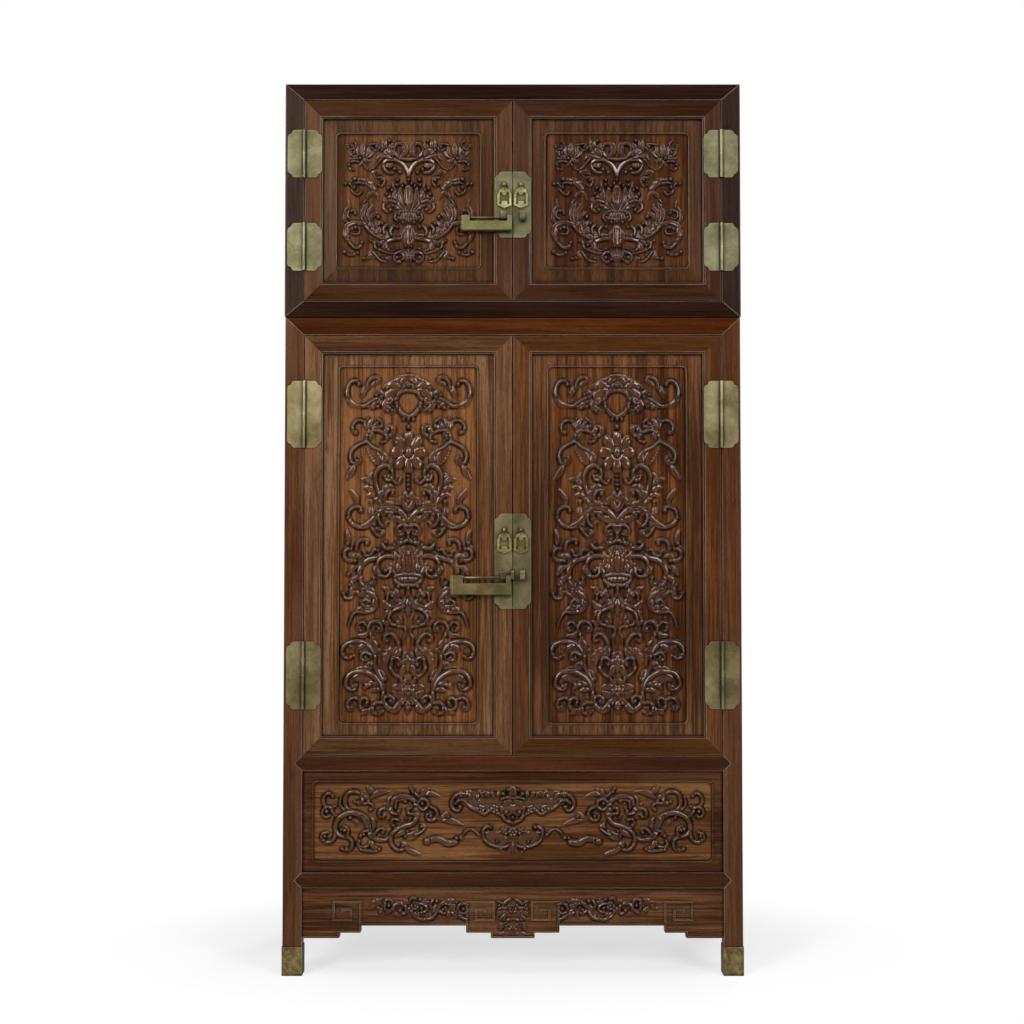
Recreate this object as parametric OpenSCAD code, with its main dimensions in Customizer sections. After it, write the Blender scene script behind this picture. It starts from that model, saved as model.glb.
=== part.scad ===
// Compound cabinet: a square-cornered cabinet on brass-shod feet with a
// matching top chest. Every frame is mitred, every panel floats in a groove,
// and the brass hinges, lock plates, pulls and sliding padlocks all work.
// Millimetres. X to the right, Y to the back, Z up, feet on Z = 0.

/* [Case] */
// Width of the lower cabinet over its posts
case_w = 1230; // [1100:5:1400]
// Depth of the lower cabinet over its posts
case_d = 560; // [460:5:640]
// Face width and depth of every post
post_w = 51; // [46:1:58]
// How far the top chest stands out past the lower cabinet
chest_proud = 2; // [0:0.5:6]
// Radius on the outer arris of posts and rails
arris_r = 3; // [1:0.5:6]
// Hairline left at each mitre and shoulder
seam = 0.2; // [0.1:0.05:0.5]
// Height the top chest floats over the lower cabinet
stack_gap = 0.3; // [0.2:0.1:0.8]

/* [Heights] */
// Floor to the underside of the bottom rail
foot_h = 232; // [200:2:280]
// Height of the bottom rail and of the sill rail
rail_h = 41; // [34:1:50]
// Height of the carved panel between those rails
well_h = 270; // [200:5:340]
// Height of the lower door opening
lower_open_h = 1132; // [950:2:1300]
// Height of the lower cabinet's top rails
lower_top_h = 48; // [40:1:56]
// Height of the chest's top and bottom rails
chest_rail_h = 43; // [36:1:52]
// Height of the chest's door opening
chest_open_h = 550; // [440:5:640]

/* [Panels] */
// Thickness of side, back, top and floor boards
board_t = 9; // [7:1:12]
// Depth of every panel groove
groove_d = 8; // [6:1:12]
// Slack across the thickness of a grooved board
groove_fit = 0.2; // [0.1:0.05:0.4]
// Slack at the edge of a grooved board, for the wood to move
edge_fit = 0.6; // [0.4:0.1:1]
// Setback of the side and back boards from the frame's face
board_in = 12; // [8:1:18]
// Thickness of shelves and of the well's lids
shelf_t = 18; // [14:1:24]
// Section of the ledgers that carry shelves and lids
ledger_t = 20; // [14:1:28]
// Clearance round a loose shelf or lid
loose_fit = 1.5; // [1:0.5:3]
// Gap between a resting board and its ledger
rest_gap = 0.3; // [0.2:0.1:0.6]

/* [Joinery] */
// Thickness of a rail's pointed shoulder
nose_t = 16; // [12:1:20]
// Length of a rail's tenon
tenon_l = 26; // [18:1:30]
// Thickness of a rail's tenon
tenon_t = 11; // [8:1:14]

/* [Doors] */
// Face width of a door frame's members
member_w = 50; // [44:1:58]
// Thickness of a door frame
door_t = 28; // [24:1:34]
// Gap between a door and the frame that it closes in
door_gap = 2; // [1.5:0.5:4]
// Gap between the two doors of a pair
meet_gap = 3; // [2.5:0.5:5]
// Width of the thin bead on a member's inner edge
edge_bead = 5; // [4:0.5:7]
// Setback of a door panel's margin from the frame's face
margin_in = 6; // [4:0.5:8]
// Fall of a panel's margin from its bead out to the frame
margin_fall = 2; // [0:0.5:3]
// Side margin on the chest doors, from the frame to the bead
chest_margin_x = 36; // [28:1:46]
// Side margin on the lower doors
lower_margin_x = 43; // [34:1:52]
// Top and bottom margin on the chest doors
chest_margin_z = 39; // [30:1:48]
// Top and bottom margin on the lower doors
lower_margin_z = 33; // [26:1:44]
// Margin between the carved well panel's frame and its bead
well_margin = 29; // [22:1:40]
// Radius of the half-round bead on a panel
bead_r = 2.4; // [1.8:0.2:3]
// Corner radius of that bead
bead_corner = 12; // [8:1:20]
// Depth of the carved ground below the margin
ground_in = 2; // [1:0.5:4]

/* [Apron] */
// Height of the apron at its deepest steps
apron_h = 133; // [110:1:150]
// Thickness of the aprons
apron_t = 18; // [14:1:24]
// Setback of the aprons from the posts' faces
apron_in = 5; // [3:1:12]
// Rise of the middle step over the deepest one
step_mid = 14; // [8:1:20]
// Rise of the long flat over the deepest step
step_top = 33; // [24:1:44]
// Width of each deepest step at a post
foot_step = 102; // [80:1:130]
// Width of the outer middle steps
mid_step = 57; // [44:1:66]
// Width of the middle steps beside the centre
inner_mid_step = 66; // [50:1:76]
// Width of the deepest step at the centre
centre_step = 118; // [90:1:150]
// Width of the bead along the stepped edge
fret_w = 5; // [4:0.5:7]
// Height that the bead and the key frets stand proud
fret_up = 2.5; // [1.5:0.5:4]
// Width of a key fret
fret_side = 76; // [64:1:84]
// Height of a key fret
fret_drop = 52; // [42:1:54]
// Height of the key frets over the bead of the long flat
fret_clear = 8; // [0:1:10]

/* [Hinges] */
// Radius of a hinge barrel
barrel_r = 5.5; // [4.5:0.5:7]
// Radius of a hinge pin
hinge_pin_r = 2.6; // [2:0.1:3]
// Radial running clearance on every pin
pin_fit = 0.06; // [0.04:0.01:0.09]
// Thickness of every brass plate
plate_t = 1.8; // [1.4:0.1:2.4]
// Width of a leaf on a post
case_leaf_w = 44; // [36:1:46]
// Width of a leaf on a door
door_leaf_w = 46; // [36:1:48]
// Height of the chest's hinges
chest_hinge_h = 129; // [90:1:150]
// Height of the lower cabinet's hinges
lower_hinge_h = 180; // [120:2:200]
// Chest hinge's centre from the end of the door opening
chest_hinge_at = 148; // [110:2:180]
// Lower hinge's centre from the end of the door opening
lower_hinge_at = 215; // [150:1:280]
// Depth of the notch at a plate's corners
notch_z = 10; // [6:1:14]
// Width of that notch
notch_x = 11; // [7:1:14]

/* [Lock plates and pulls] */
// Width of each half of a lock plate
lock_plate_w = 47; // [42:1:48]
// Height of the chest's lock plates
chest_plate_h = 179; // [150:1:200]
// Height of the lower cabinet's lock plates
lower_plate_h = 255; // [210:5:290]
// Chest plate's centre above the bottom of the opening
chest_plate_at = 263; // [220:1:300]
// Lower plate's centre above the bottom of the opening
lower_plate_at = 521; // [450:1:600]
// Chest pull's pivot below the top of its plate
chest_pull_at = 46; // [36:1:52]
// Lower pull's pivot below the top of its plate
lower_pull_at = 53; // [40:1:90]
// Distance of a pull's pivot from the doors' meeting line
pull_x = 22.5; // [21:0.5:25]
// Thickness of a pull
pull_t = 2.8; // [1.6:0.2:3]
// Radius of the domed stud over a pull
stud_r = 7.5; // [5:0.5:8]
// Radius of a pull's cross pin
pull_pin_r = 1.5; // [1.2:0.1:2]

/* [Padlocks] */
// Radius of a padlock's bolt
bolt_r = 3.2; // [2.6:0.1:3.6]
// Radius of the eye in each staple
eye_r = 4.2; // [4:0.1:5]
// Width of a staple
staple_w = 12; // [9:0.5:13]
// Width of the centre post's staple
centre_staple_w = 7.5; // [5:0.5:9]
// Distance of a door's staple from the meeting line
staple_x = 26; // [25:0.5:28]
// Wall of a staple round its eye
staple_wall = 3; // [2.4:0.2:3.4]
// Rise of a staple's head over its eye
staple_up = 20; // [18:1:26]
// Distance of the eyes in front of the plates
eye_out = 14; // [12.5:0.5:18]
// Depth of a padlock from front to back
lock_d = 20; // [16:1:22]
// Length of the chest's padlock
chest_lock_l = 137; // [110:1:160]
// Length of the lower cabinet's padlock
lower_lock_l = 161; // [130:1:190]
// Height of the chest padlock's bar
chest_lock_h = 25; // [18:1:30]
// Height of the lower padlock's bar
lower_lock_h = 30; // [22:1:34]
// Width of the chest padlock's outer horn
chest_horn_w = 18; // [12:1:26]
// Width of the lower padlock's outer horn
lower_horn_w = 27; // [16:1:32]
// Width of a padlock's inner horn
inner_horn_w = 12; // [9:0.5:13]
// Height of the bolt's axis over the chest padlock's bar
chest_bolt_up = 10; // [9.5:0.5:14]
// Height of the bolt's axis over the lower padlock's bar
lower_bolt_up = 16; // [10:0.5:20]
// Rise of the horns over the bolt's axis
horn_up = 5.5; // [5:0.5:8]
// Chest bolt's axis above the bottom of its plate
chest_bolt_at = 50; // [44:1:64]
// Lower bolt's axis above the bottom of its plate
lower_bolt_at = 83; // [60:1:100]

/* [Feet and centre post] */
// Height of the brass shoes
shoe_h = 76; // [60:1:90]
// Thickness of the shoes' brass
shoe_t = 2; // [1.5:0.5:3]
// Width of the removable centre post
centre_post_w = 44; // [34:1:52]
// Thickness of the removable centre post
centre_post_t = 20; // [16:1:20]

/* [Hidden] */
$fn = 48;

// Overall reach in front of the lower cabinet, and the shift that centres it
reach = chest_proud + plate_t + eye_out + lock_d / 2;
front_y = reach - (case_d + reach + shoe_t) / 2;

// Levels
bottom_z = foot_h;
well_z = bottom_z + rail_h;
sill_z = well_z + well_h;
lower_open_z = sill_z + rail_h;
lower_top_z = lower_open_z + lower_open_h;
lower_end_z = lower_top_z + lower_top_h;
chest_z = lower_end_z + stack_gap;
chest_open_z = chest_z + chest_rail_h;
chest_top_z = chest_open_z + chest_open_h;
chest_end_z = chest_top_z + chest_rail_h;

// Widths and depths
chest_w = case_w + 2 * chest_proud;
chest_d = case_d + chest_proud;
lower_open_w = case_w - 2 * post_w;
chest_open_w = chest_w - 2 * post_w;
lower_door_w = (lower_open_w - meet_gap) / 2 - door_gap;
chest_door_w = (chest_open_w - meet_gap) / 2 - door_gap;
lower_door_h = lower_open_h - 2 * door_gap;
chest_door_h = chest_open_h - 2 * door_gap;
slot_t = board_t + 2 * groove_fit;
over = 1;

// Where a door panel's tongue lies in the frame
tongue_y = margin_in + ground_in + 4;

// Apron
apron_z = foot_h - apron_h;
apron_r = 4;

// Stand a drawing of the front view (x, z) up as a slab from y = 0 to y = t
module front_slab(t) {
    translate([0, t, 0]) rotate([90, 0, 0]) linear_extrude(t) children();
}

// Stand a drawing of the side view (y, z) up as a slab from x = 0 to x = l
module side_slab(l) {
    rotate([90, 0, 90]) linear_extrude(l) children();
}

module both_sides() {
    children();
    mirror([1, 0, 0]) children();
}

// Move the outer side of a left wall to x = 0 facing left, running to the back
module on_left(w, d) {
    translate([-w / 2, d / 2, 0]) rotate([0, 0, -90]) children();
}

module at_rear(d) {
    translate([0, d, 0]) mirror([0, 1, 0]) children();
}

// Square section with one rounded outer arris at the origin
module arris_square(w, h, r) {
    difference() {
        square([w, h]);
        square([r, r]);
    }
    translate([r, r]) circle(r);
}

// Post with its outer corner at the origin. At a mitred end its point takes
// one third of the corner, next to the two rails of the frame there.
module post(z0, z1, top_h, foot_mitre_h) {
    top = top_h > 0 ? [[post_w, z1 - top_h - seam], [0, z1 - seam]]
                    : [[post_w, z1], [0, z1]];
    foot = foot_mitre_h > 0 ? [[0, z0 + seam], [post_w, z0 + foot_mitre_h + seam]]
                            : [[0, z0], [post_w, z0]];
    intersection() {
        translate([0, 0, z0]) linear_extrude(z1 - z0) arris_square(post_w, post_w, arris_r);
        front_slab(post_w) polygon(concat(foot, top));
        side_slab(post_w) polygon(concat(foot, top));
    }
}

module four_posts(w, d, z0, z1, top_h, foot_mitre_h) {
    both_sides() {
        translate([-w / 2, 0, 0]) post(z0, z1, top_h, foot_mitre_h);
        at_rear(d) translate([-w / 2, 0, 0]) post(z0, z1, top_h, foot_mitre_h);
    }
}

// Front rail of a mitred frame, its outer arris up. z = 0 is the outer face.
module frame_rail_x(w, h) {
    intersection() {
        front_slab(post_w)
            polygon([[-w / 2, 0], [w / 2, 0], [w / 2 - post_w, -h], [post_w - w / 2, -h]]);
        translate([0, 0, -h]) linear_extrude(h)
            polygon([[-w / 2, 0], [w / 2, 0], [w / 2 - post_w, post_w], [post_w - w / 2, post_w]]);
        translate([-w / 2, 0, 0]) mirror([0, 0, 1]) side_slab(w) arris_square(post_w, h, arris_r);
    }
}

module frame_rail_y(w, d, h) {
    intersection() {
        on_left(w, d) front_slab(post_w)
            polygon([[-d / 2, 0], [d / 2, 0], [d / 2 - post_w, -h], [post_w - d / 2, -h]]);
        translate([0, 0, -h]) linear_extrude(h)
            polygon([[-w / 2, seam], [-w / 2, d - seam], [post_w - w / 2, d - post_w - seam],
                [post_w - w / 2, post_w + seam]]);
        on_left(w, d) translate([-d / 2, 0, 0]) mirror([0, 0, 1])
            side_slab(d) arris_square(post_w, h, arris_r);
    }
}

// Four rails mitred to each other and to the posts, outer faces at z = 0
module mitred_frame(w, d, h) {
    frame_rail_x(w, h);
    at_rear(d) frame_rail_x(w, h);
    both_sides() frame_rail_y(w, d, h);
}

// Rail between two posts with pointed shoulders on its face and tenons
// behind them. Grown by a seam it is also the cutter for its mortises.
module shouldered_rail(len, h, grow, tenon) {
    front_slab(nose_t + grow)
        polygon([[-len / 2, -grow], [len / 2, -grow], [len / 2 + h / 2 + grow, h / 2],
            [len / 2, h + grow], [-len / 2, h + grow], [-len / 2 - h / 2 - grow, h / 2]]);
    translate([-len / 2, 0, 0]) cube([len, post_w, h]);
    translate([-len / 2 - tenon - grow, post_w / 2, h / 5 - grow])
        cube([len + 2 * tenon + 2 * grow, tenon_t + 2 * grow, h * 3 / 5 + 2 * grow]);
}

// Front, side and rear rails of the lower cabinet, for cutting or for keeping.
// In each post the side rail has a stub that stops short of the front tenon.
module lower_front_rail(z, grow) {
    translate([0, 0, z]) shouldered_rail(lower_open_w, rail_h, grow, tenon_l);
}

module lower_side_rail(grow) {
    on_left(case_w, case_d) translate([0, 0, bottom_z])
        shouldered_rail(case_d - 2 * post_w, rail_h, grow, post_w / 2 - tenon_t - 2 * seam);
}

module lower_rear_rail(z, grow) {
    at_rear(case_d) lower_front_rail(z, grow);
}

// Board in the plane of a wall, filling an opening and its grooves
module side_board(w, d, z0, z1, in, slack) {
    e = groove_d - slack;
    translate([-w / 2 + in, post_w - e, z0 - e])
        cube([board_t, d - 2 * post_w + 2 * e, z1 - z0 + 2 * e]);
}

module side_groove(w, d, z0, z1, in) {
    translate([-w / 2 + in - groove_fit, post_w - groove_d, z0 - groove_d])
        cube([slot_t, d - 2 * post_w + 2 * groove_d, z1 - z0 + 2 * groove_d]);
}

module back_board(w, d, z0, z1, in, slack) {
    e = groove_d - slack;
    translate([post_w - w / 2 - e, d - in - board_t, z0 - e])
        cube([w - 2 * post_w + 2 * e, board_t, z1 - z0 + 2 * e]);
}

module back_groove(w, d, z0, z1, in) {
    translate([post_w - w / 2 - groove_d, d - in - board_t - groove_fit, z0 - groove_d])
        cube([w - 2 * post_w + 2 * groove_d, slot_t, z1 - z0 + 2 * groove_d]);
}

module flat_board(w, d, z, slack) {
    e = groove_d - slack;
    translate([post_w - w / 2 - e, post_w - e, z])
        cube([w - 2 * post_w + 2 * e, d - 2 * post_w + 2 * e, board_t]);
}

module flat_groove(w, d, z) {
    translate([post_w - w / 2 - groove_d, post_w - groove_d, z - groove_fit])
        cube([w - 2 * post_w + 2 * groove_d, d - 2 * post_w + 2 * groove_d, slot_t]);
}

// Levels of the grooved floor and top boards
lower_cover_z = lower_end_z - board_in - board_t;
well_floor_z = bottom_z + rail_h / 2;
chest_cover_z = chest_end_z - board_in - board_t;
chest_floor_z = chest_open_z - board_in - board_t;

module lower_grooves() {
    both_sides() side_groove(case_w, case_d, well_z, lower_top_z, board_in);
    back_groove(case_w, case_d, well_z, sill_z, board_in);
    back_groove(case_w, case_d, lower_open_z, lower_top_z, board_in);
    flat_groove(case_w, case_d, lower_cover_z);
    flat_groove(case_w, case_d, well_floor_z);
    well_groove();
}

module chest_grooves() {
    both_sides() side_groove(chest_w, chest_d, chest_open_z, chest_top_z, board_in);
    back_groove(chest_w, chest_d, chest_open_z, chest_top_z, board_in);
    flat_groove(chest_w, chest_d, chest_cover_z);
    flat_groove(chest_w, chest_d, chest_floor_z);
}

module in_chest() {
    translate([0, -chest_proud, 0]) children();
}

// Half-round bead in the plane y = 0 round a rectangle, corners rounded
module bead_ring(w, h, r, b) {
    for (s = [-1, 1]) {
        translate([r - w / 2, 0, s * h / 2]) rotate([0, 90, 0]) cylinder(r = b, h = w - 2 * r);
        translate([s * w / 2, 0, r - h / 2]) cylinder(r = b, h = h - 2 * r);
    }
    for (a = [0, 1, 2, 3]) {
        sx = a == 0 || a == 3 ? 1 : -1;
        sz = a < 2 ? 1 : -1;
        translate([sx * (w / 2 - r), 0, sz * (h / 2 - r)])
            rotate([90, -90 * a, 0]) rotate_extrude(angle = 90) translate([r, 0]) circle(b);
    }
}

module round_rect(w, h, r) {
    square([w - 2 * r, h], center = true);
    square([w, h - 2 * r], center = true);
    for (x = [r - w / 2, w / 2 - r], z = [r - h / 2, h / 2 - r]) translate([x, z]) circle(r);
}

// Section across a panel (x, y), flat at y = 0 for a width of field and
// falling to its sides, back at y = t
module raised_section(w, field, t) {
    polygon([[-w / 2, margin_fall], [-field / 2, 0], [field / 2, 0], [w / 2, margin_fall],
        [w / 2, t], [-w / 2, t]]);
}

// Panel centred on an opening of w by h whose frame has its face at y = 0:
// falling margin, half-round bead, sunk ground, and a tongue all round
module beaded_panel(w, h, mx, mz) {
    bw = w - 2 * mx;
    bh = h - 2 * mz;
    e = groove_d - edge_fit;
    t = tongue_y + board_t - margin_in;
    difference() {
        translate([0, margin_in, 0]) intersection() {
            linear_extrude(h - 2 * seam, center = true)
                raised_section(w - 2 * seam, bw + 2 * bead_r, t);
            rotate([0, 90, 0]) linear_extrude(w - 2 * seam, center = true)
                raised_section(h - 2 * seam, bh + 2 * bead_r, t);
        }
        translate([0, margin_in - over, 0]) front_slab(ground_in + over)
            round_rect(bw - bead_r, bh - bead_r, bead_corner);
    }
    translate([-w / 2 - e, tongue_y, -h / 2 - e]) cube([w + 2 * e, board_t, h + 2 * e]);
    intersection() {
        translate([0, margin_in, 0]) bead_ring(bw, bh, bead_corner, bead_r);
        translate([-w / 2, margin_in - 2 * bead_r, -h / 2]) cube([w, 3 * bead_r, h]);
    }
}

module well_groove() {
    translate([-lower_open_w / 2 - groove_d, tongue_y - groove_fit, well_z - groove_d])
        cube([lower_open_w + 2 * groove_d, slot_t, well_h + 2 * groove_d]);
}

// Section of a door member: x from the outer edge inward, y to the back
module member_section() {
    difference() {
        arris_square(member_w, door_t, 1.5);
        translate([member_w - edge_bead - 1, -over]) square([edge_bead + 1 + over, edge_bead / 2 + 0.5 + over]);
        translate([member_w - groove_d, tongue_y - groove_fit]) square([groove_d + over, slot_t]);
    }
    translate([member_w - edge_bead / 2, edge_bead / 2 + 0.5]) circle(edge_bead / 2);
}

module mitred_member(len, s) {
    intersection() {
        linear_extrude(len) member_section();
        front_slab(door_t)
            polygon([[0, s], [member_w, member_w + s], [member_w, len - member_w - s], [0, len - s]]);
    }
}

module swap_xz() {
    mirror([1, 0, -1]) children();
}

// Left door frame: hinge edge at x = 0, foot at z = 0, face at y = 0
module door_frame(w, h, notch_at) {
    difference() {
        union() {
            mitred_member(h, seam);
            translate([w, 0, 0]) mirror([1, 0, 0]) mitred_member(h, seam);
            swap_xz() mitred_member(w, 0);
            translate([0, 0, h]) mirror([0, 0, 1]) swap_xz() mitred_member(w, 0);
        }
        if (notch_at > 0) staple_notch(w, notch_at);
    }
}

// Way for the centre post's staple through a meeting edge
module staple_notch(w, at) {
    clear = 2;
    nw = centre_staple_w / 2 + clear - meet_gap / 2;
    nh = staple_r + staple_up + 2 * clear;
    translate([w - nw, -over - plate_t, at - staple_r - clear])
        cube([nw + over, door_t + plate_t + 2 * over, nh]);
}

// Brass leaf (x, z) from x = 0 outward, its far corners notched to a cusp
module leaf_outline(w, h) {
    r = notch_x * 0.8;
    difference() {
        union() {
            round_rect(2 * (w - notch_x), h, r);
            round_rect(2 * w, h - 2 * notch_z, notch_x);
        }
        translate([-w - over, -h / 2 - over]) square([w + over, h + 2 * over]);
    }
}

// Leaf and one knuckle of a lift-off hinge, about the pin's axis. The leaf
// runs to +x from a start at x0 and the knuckle takes the half named by side.
module hinge_leaf(w, h, x0, side, bored) {
    clear_x = barrel_r + 0.6;
    z0 = side > 0 ? seam / 2 : -h / 2;
    difference() {
        union() {
            translate([x0, barrel_r - plate_t, 0]) front_slab(plate_t) leaf_outline(w, h);
            translate([0, barrel_r - plate_t, z0]) cube([x0 + over, plate_t, h / 2 - seam / 2]);
            translate([0, 0, z0]) cylinder(r = barrel_r, h = h / 2 - seam / 2);
        }
        translate([-clear_x, -barrel_r, side > 0 ? -h / 2 - over : -seam / 2])
            cube([2 * clear_x, 2 * barrel_r + over, h / 2 + over + seam / 2]);
        if (bored) translate([0, 0, -h / 2 - over])
            cylinder(r = hinge_pin_r + pin_fit, h = h + 2 * over);
    }
}

// Case leaf with its pin standing up into the door's knuckle
module case_hinge(w, h) {
    mirror([1, 0, 0]) hinge_leaf(w, h, door_gap / 2, -1, false);
    translate([0, 0, -over]) cylinder(r = hinge_pin_r, h = h / 2 - over);
}

// Half of a lock plate: meeting edge at x = 0, running to -x
module lock_plate_half(h) {
    mirror([1, 0, 0]) leaf_outline(lock_plate_w, h);
}

// Pull outline (x, z) hanging from its pivot at the origin
module pull_outline() {
    difference() {
        union() {
            translate([0, -27]) round_rect(38, 36, 11);
            for (s = [-1, 1]) {
                translate([s * 6.5, -9.5]) circle(8.5);
                translate([s * 13, -41]) circle(7);
                translate([s * 6, -44.5]) circle(7);
            }
            translate([0, -48.5]) circle(5.5);
            translate([-5.6, -8]) square([11.2, 8]);
        }
        pull_window();
    }
}

// Openwork of the pull, with a lobed tongue at its head and at its foot
module pull_window() {
    difference() {
        union() {
            translate([0, -26.5]) round_rect(26, 20, 5);
            for (s = [-1, 1]) {
                translate([s * 8.5, -14.5]) circle(4.2);
                translate([s * 9.5, -38.5]) circle(5);
            }
        }
        translate([0, -12.5]) circle(6);
        translate([0, -42.5]) circle(8);
        for (s = [-1, 1]) translate([s * 5, -37.5]) circle(2.6);
    }
}

pull_knuckle_r = pull_pin_r + 1.4;
pull_pivot_out = pull_knuckle_r + 0.5;
lug_w = 4;
knuckle_w = 3.4;

// Pull with two knuckles on its cross pin, pivot at the origin, face to -y
module pull_solid() {
    difference() {
        union() {
            translate([0, -pull_t / 2, 0]) front_slab(pull_t) difference() {
                pull_outline();
                translate([-lug_w / 2 - 0.3, -pull_knuckle_r - 1]) square([lug_w + 0.6, 20]);
            }
            for (s = [-1, 1]) translate([s * (lug_w / 2 + 0.3 + knuckle_w / 2), 0, 0])
                rotate([0, 90, 0]) cylinder(r = pull_knuckle_r, h = knuckle_w, center = true);
        }
        translate([-20, 0, 0]) rotate([0, 90, 0]) cylinder(r = pull_pin_r + pin_fit, h = 40);
    }
}

// Post of a pull: cross pin through a lug, under a domed stud
module pull_post() {
    rise = stud_r + 1.5;
    head_y = -pull_pivot_out - pull_knuckle_r;
    translate([-lug_w / 2, -pull_pivot_out - pull_pin_r - 0.8, -pull_pin_r - 0.8])
        cube([lug_w, pull_pivot_out + pull_pin_r + 0.8, rise + pull_pin_r]);
    rotate([0, 90, 0]) translate([0, -pull_pivot_out, 0])
        cylinder(r = pull_pin_r, h = lug_w + 2 * knuckle_w + 1.6, center = true);
    translate([0, 0, rise]) rotate([90, 0, 0]) cylinder(r = 3, h = -head_y);
    translate([0, head_y, rise]) rotate([90, 0, 0]) intersection() {
        translate([0, 0, -stud_r * 0.55]) sphere(stud_r * 1.14);
        cylinder(r = stud_r, h = 2 * stud_r);
    }
}

staple_r = eye_r + staple_wall;

// Staple with its eye at the origin and a tall round head, running back to a
// plate at y = back
module staple(w, back) {
    translate([-w / 2, 0, 0]) difference() {
        side_slab(w) {
            circle(staple_r);
            translate([0, staple_up - staple_r]) circle(staple_r);
            translate([-staple_r, 0]) square([2 * staple_r, staple_up - staple_r]);
            translate([0, -staple_r]) square([back, 2 * staple_r]);
        }
        translate([-over, 0, 0]) rotate([0, 90, 0]) cylinder(r = eye_r, h = w + 2 * over);
    }
}

// Sections of a padlock about its bolt's axis, with the bar's top at z = -up
end_cap_t = 5;
guide_r = 4;
guide_l = 60;
eye_lift = eye_r - bolt_r - rest_gap;

module lock_section(h, up) {
    difference() {
        translate([-lock_d / 2, -up - h]) square([lock_d, h + up + horn_up]);
        for (s = [-1, 1]) translate([s * lock_d / 2, -up - h]) rotate(45) square(4, center = true);
    }
}

// Padlock body ending at x = inner, its bolt's axis on the x axis
module padlock(len, h, up, horn_w, inner) {
    x0 = inner - len + end_cap_t;
    difference() {
        translate([x0, 0, 0]) side_slab(len - end_cap_t) lock_section(h, up);
        translate([x0 + horn_w, -lock_d / 2 - over, -up])
            cube([len - end_cap_t - horn_w - inner_horn_w, lock_d + 2 * over, up + horn_up + over]);
        translate([x0 - over, 0, 0]) rotate([0, 90, 0])
            cylinder(r = bolt_r + pin_fit, h = len - end_cap_t + 2 * over);
        translate([x0 - over, 0, -up - h / 2]) rotate([0, 90, 0])
            cylinder(r = guide_r + pin_fit, h = guide_l + 2 * over);
    }
}

// Bolt with its end cap and the guide that runs inside the padlock's bar
module lock_bolt(len, h, up, inner) {
    x0 = inner - len;
    translate([x0, 0, 0]) side_slab(end_cap_t - seam) lock_section(h, up);
    translate([x0 + over, 0, 0]) rotate([0, 90, 0]) cylinder(r = bolt_r, h = len - 2 * over);
    translate([x0 + over, 0, -up - h / 2]) rotate([0, 90, 0]) cylinder(r = guide_r, h = guide_l);
}

// Stepped outline of an apron (x, z), drawn inside itself by e
module apron_outline(len, e, centred) {
    module drop(x0, x1, rise) {
        r = apron_r - (e > 0 ? 2 : 0);
        difference() {
            translate([x0, apron_z + rise + e]) square([x1 - x0, foot_h - seam - apron_z - rise - e]);
            translate([x0, apron_z + rise + e]) square(r);
            translate([x1 - r, apron_z + rise + e]) square(r);
        }
        for (x = [x0 + r, x1 - r]) translate([x, apron_z + rise + e + r]) circle(r);
    }
    drop(-len / 2 + seam, len / 2 - seam, step_top);
    for (s = [0, 1]) mirror([s, 0]) {
        drop(seam - len / 2, foot_step - len / 2 - e, 0);
        drop(seam - len / 2, foot_step + mid_step - len / 2 - e, step_mid);
    }
    if (centred) {
        drop(e - centre_step / 2, centre_step / 2 - e, 0);
        drop(e - centre_step / 2 - inner_mid_step, centre_step / 2 + inner_mid_step - e, step_mid);
    }
}

// Square spiral (x, z) turning in from its outer top corner at the origin
module key_fret() {
    b = fret_w;
    w = fret_side;
    d = fret_drop;
    translate([-b, -d - b]) square([b, d + b]);
    translate([-w, -b]) square([w, b]);
    translate([-w, -d]) square([b, d]);
    translate([-w, -d]) square([w * 0.68, b]);
    translate([-w * 0.32 - b, -d]) square([b, d * 0.62]);
    translate([-w * 0.7, -d * 0.38 - b]) square([w * 0.38, b]);
    translate([-w * 0.7, -d * 0.38 - 2 * b]) square([b, 2 * b]);
}

module apron(len, centred) {
    translate([0, apron_in, 0]) front_slab(apron_t) apron_outline(len, 0, centred);
    translate([0, apron_in - fret_up, 0]) front_slab(fret_up + over) {
        difference() {
            apron_outline(len, 0, centred);
            apron_outline(len, fret_w, centred);
            translate([-len / 2, foot_h - fret_w - over]) square([len, 2 * fret_w]);
        }
        fret_top = apron_z + step_top + fret_w + fret_clear + fret_drop;
        rise = fret_top - apron_z - step_top;
        for (s = [0, 1]) mirror([s, 0]) {
            translate([foot_step + mid_step - len / 2, fret_top]) key_fret();
            translate([foot_step + mid_step - len / 2 - fret_w, apron_z + step_top - over])
                square([fret_w, rise]);
            if (centred) {
                translate([-centre_step / 2 - inner_mid_step, fret_top]) mirror([1, 0]) key_fret();
                translate([-centre_step / 2 - inner_mid_step, apron_z + step_top - over])
                    square([fret_w, rise]);
            }
        }
    }
}

// Where the two cases' doors and hardware lie
module each_lower_hinge() {
    for (z = [lower_open_z + lower_hinge_at, lower_top_z - lower_hinge_at])
        translate([-lower_open_w / 2 + door_gap / 2, -barrel_r, z]) children();
}

module each_chest_hinge() {
    for (z = [chest_open_z + chest_hinge_at, chest_top_z - chest_hinge_at])
        translate([-chest_open_w / 2 + door_gap / 2, -barrel_r, z]) children();
}

lower_plate_z = lower_open_z + lower_plate_at;
chest_plate_z = chest_open_z + chest_plate_at;
lower_bolt_z = lower_plate_z - lower_plate_h / 2 + lower_bolt_at;
chest_bolt_z = chest_plate_z - chest_plate_h / 2 + chest_bolt_at;
lower_pull_z = lower_plate_z + lower_plate_h / 2 - lower_pull_at;
chest_pull_z = chest_plate_z + chest_plate_h / 2 - chest_pull_at;
lower_inner = -centre_staple_w / 2 - 1.75;
chest_inner = -meet_gap / 2 - 1;

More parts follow.
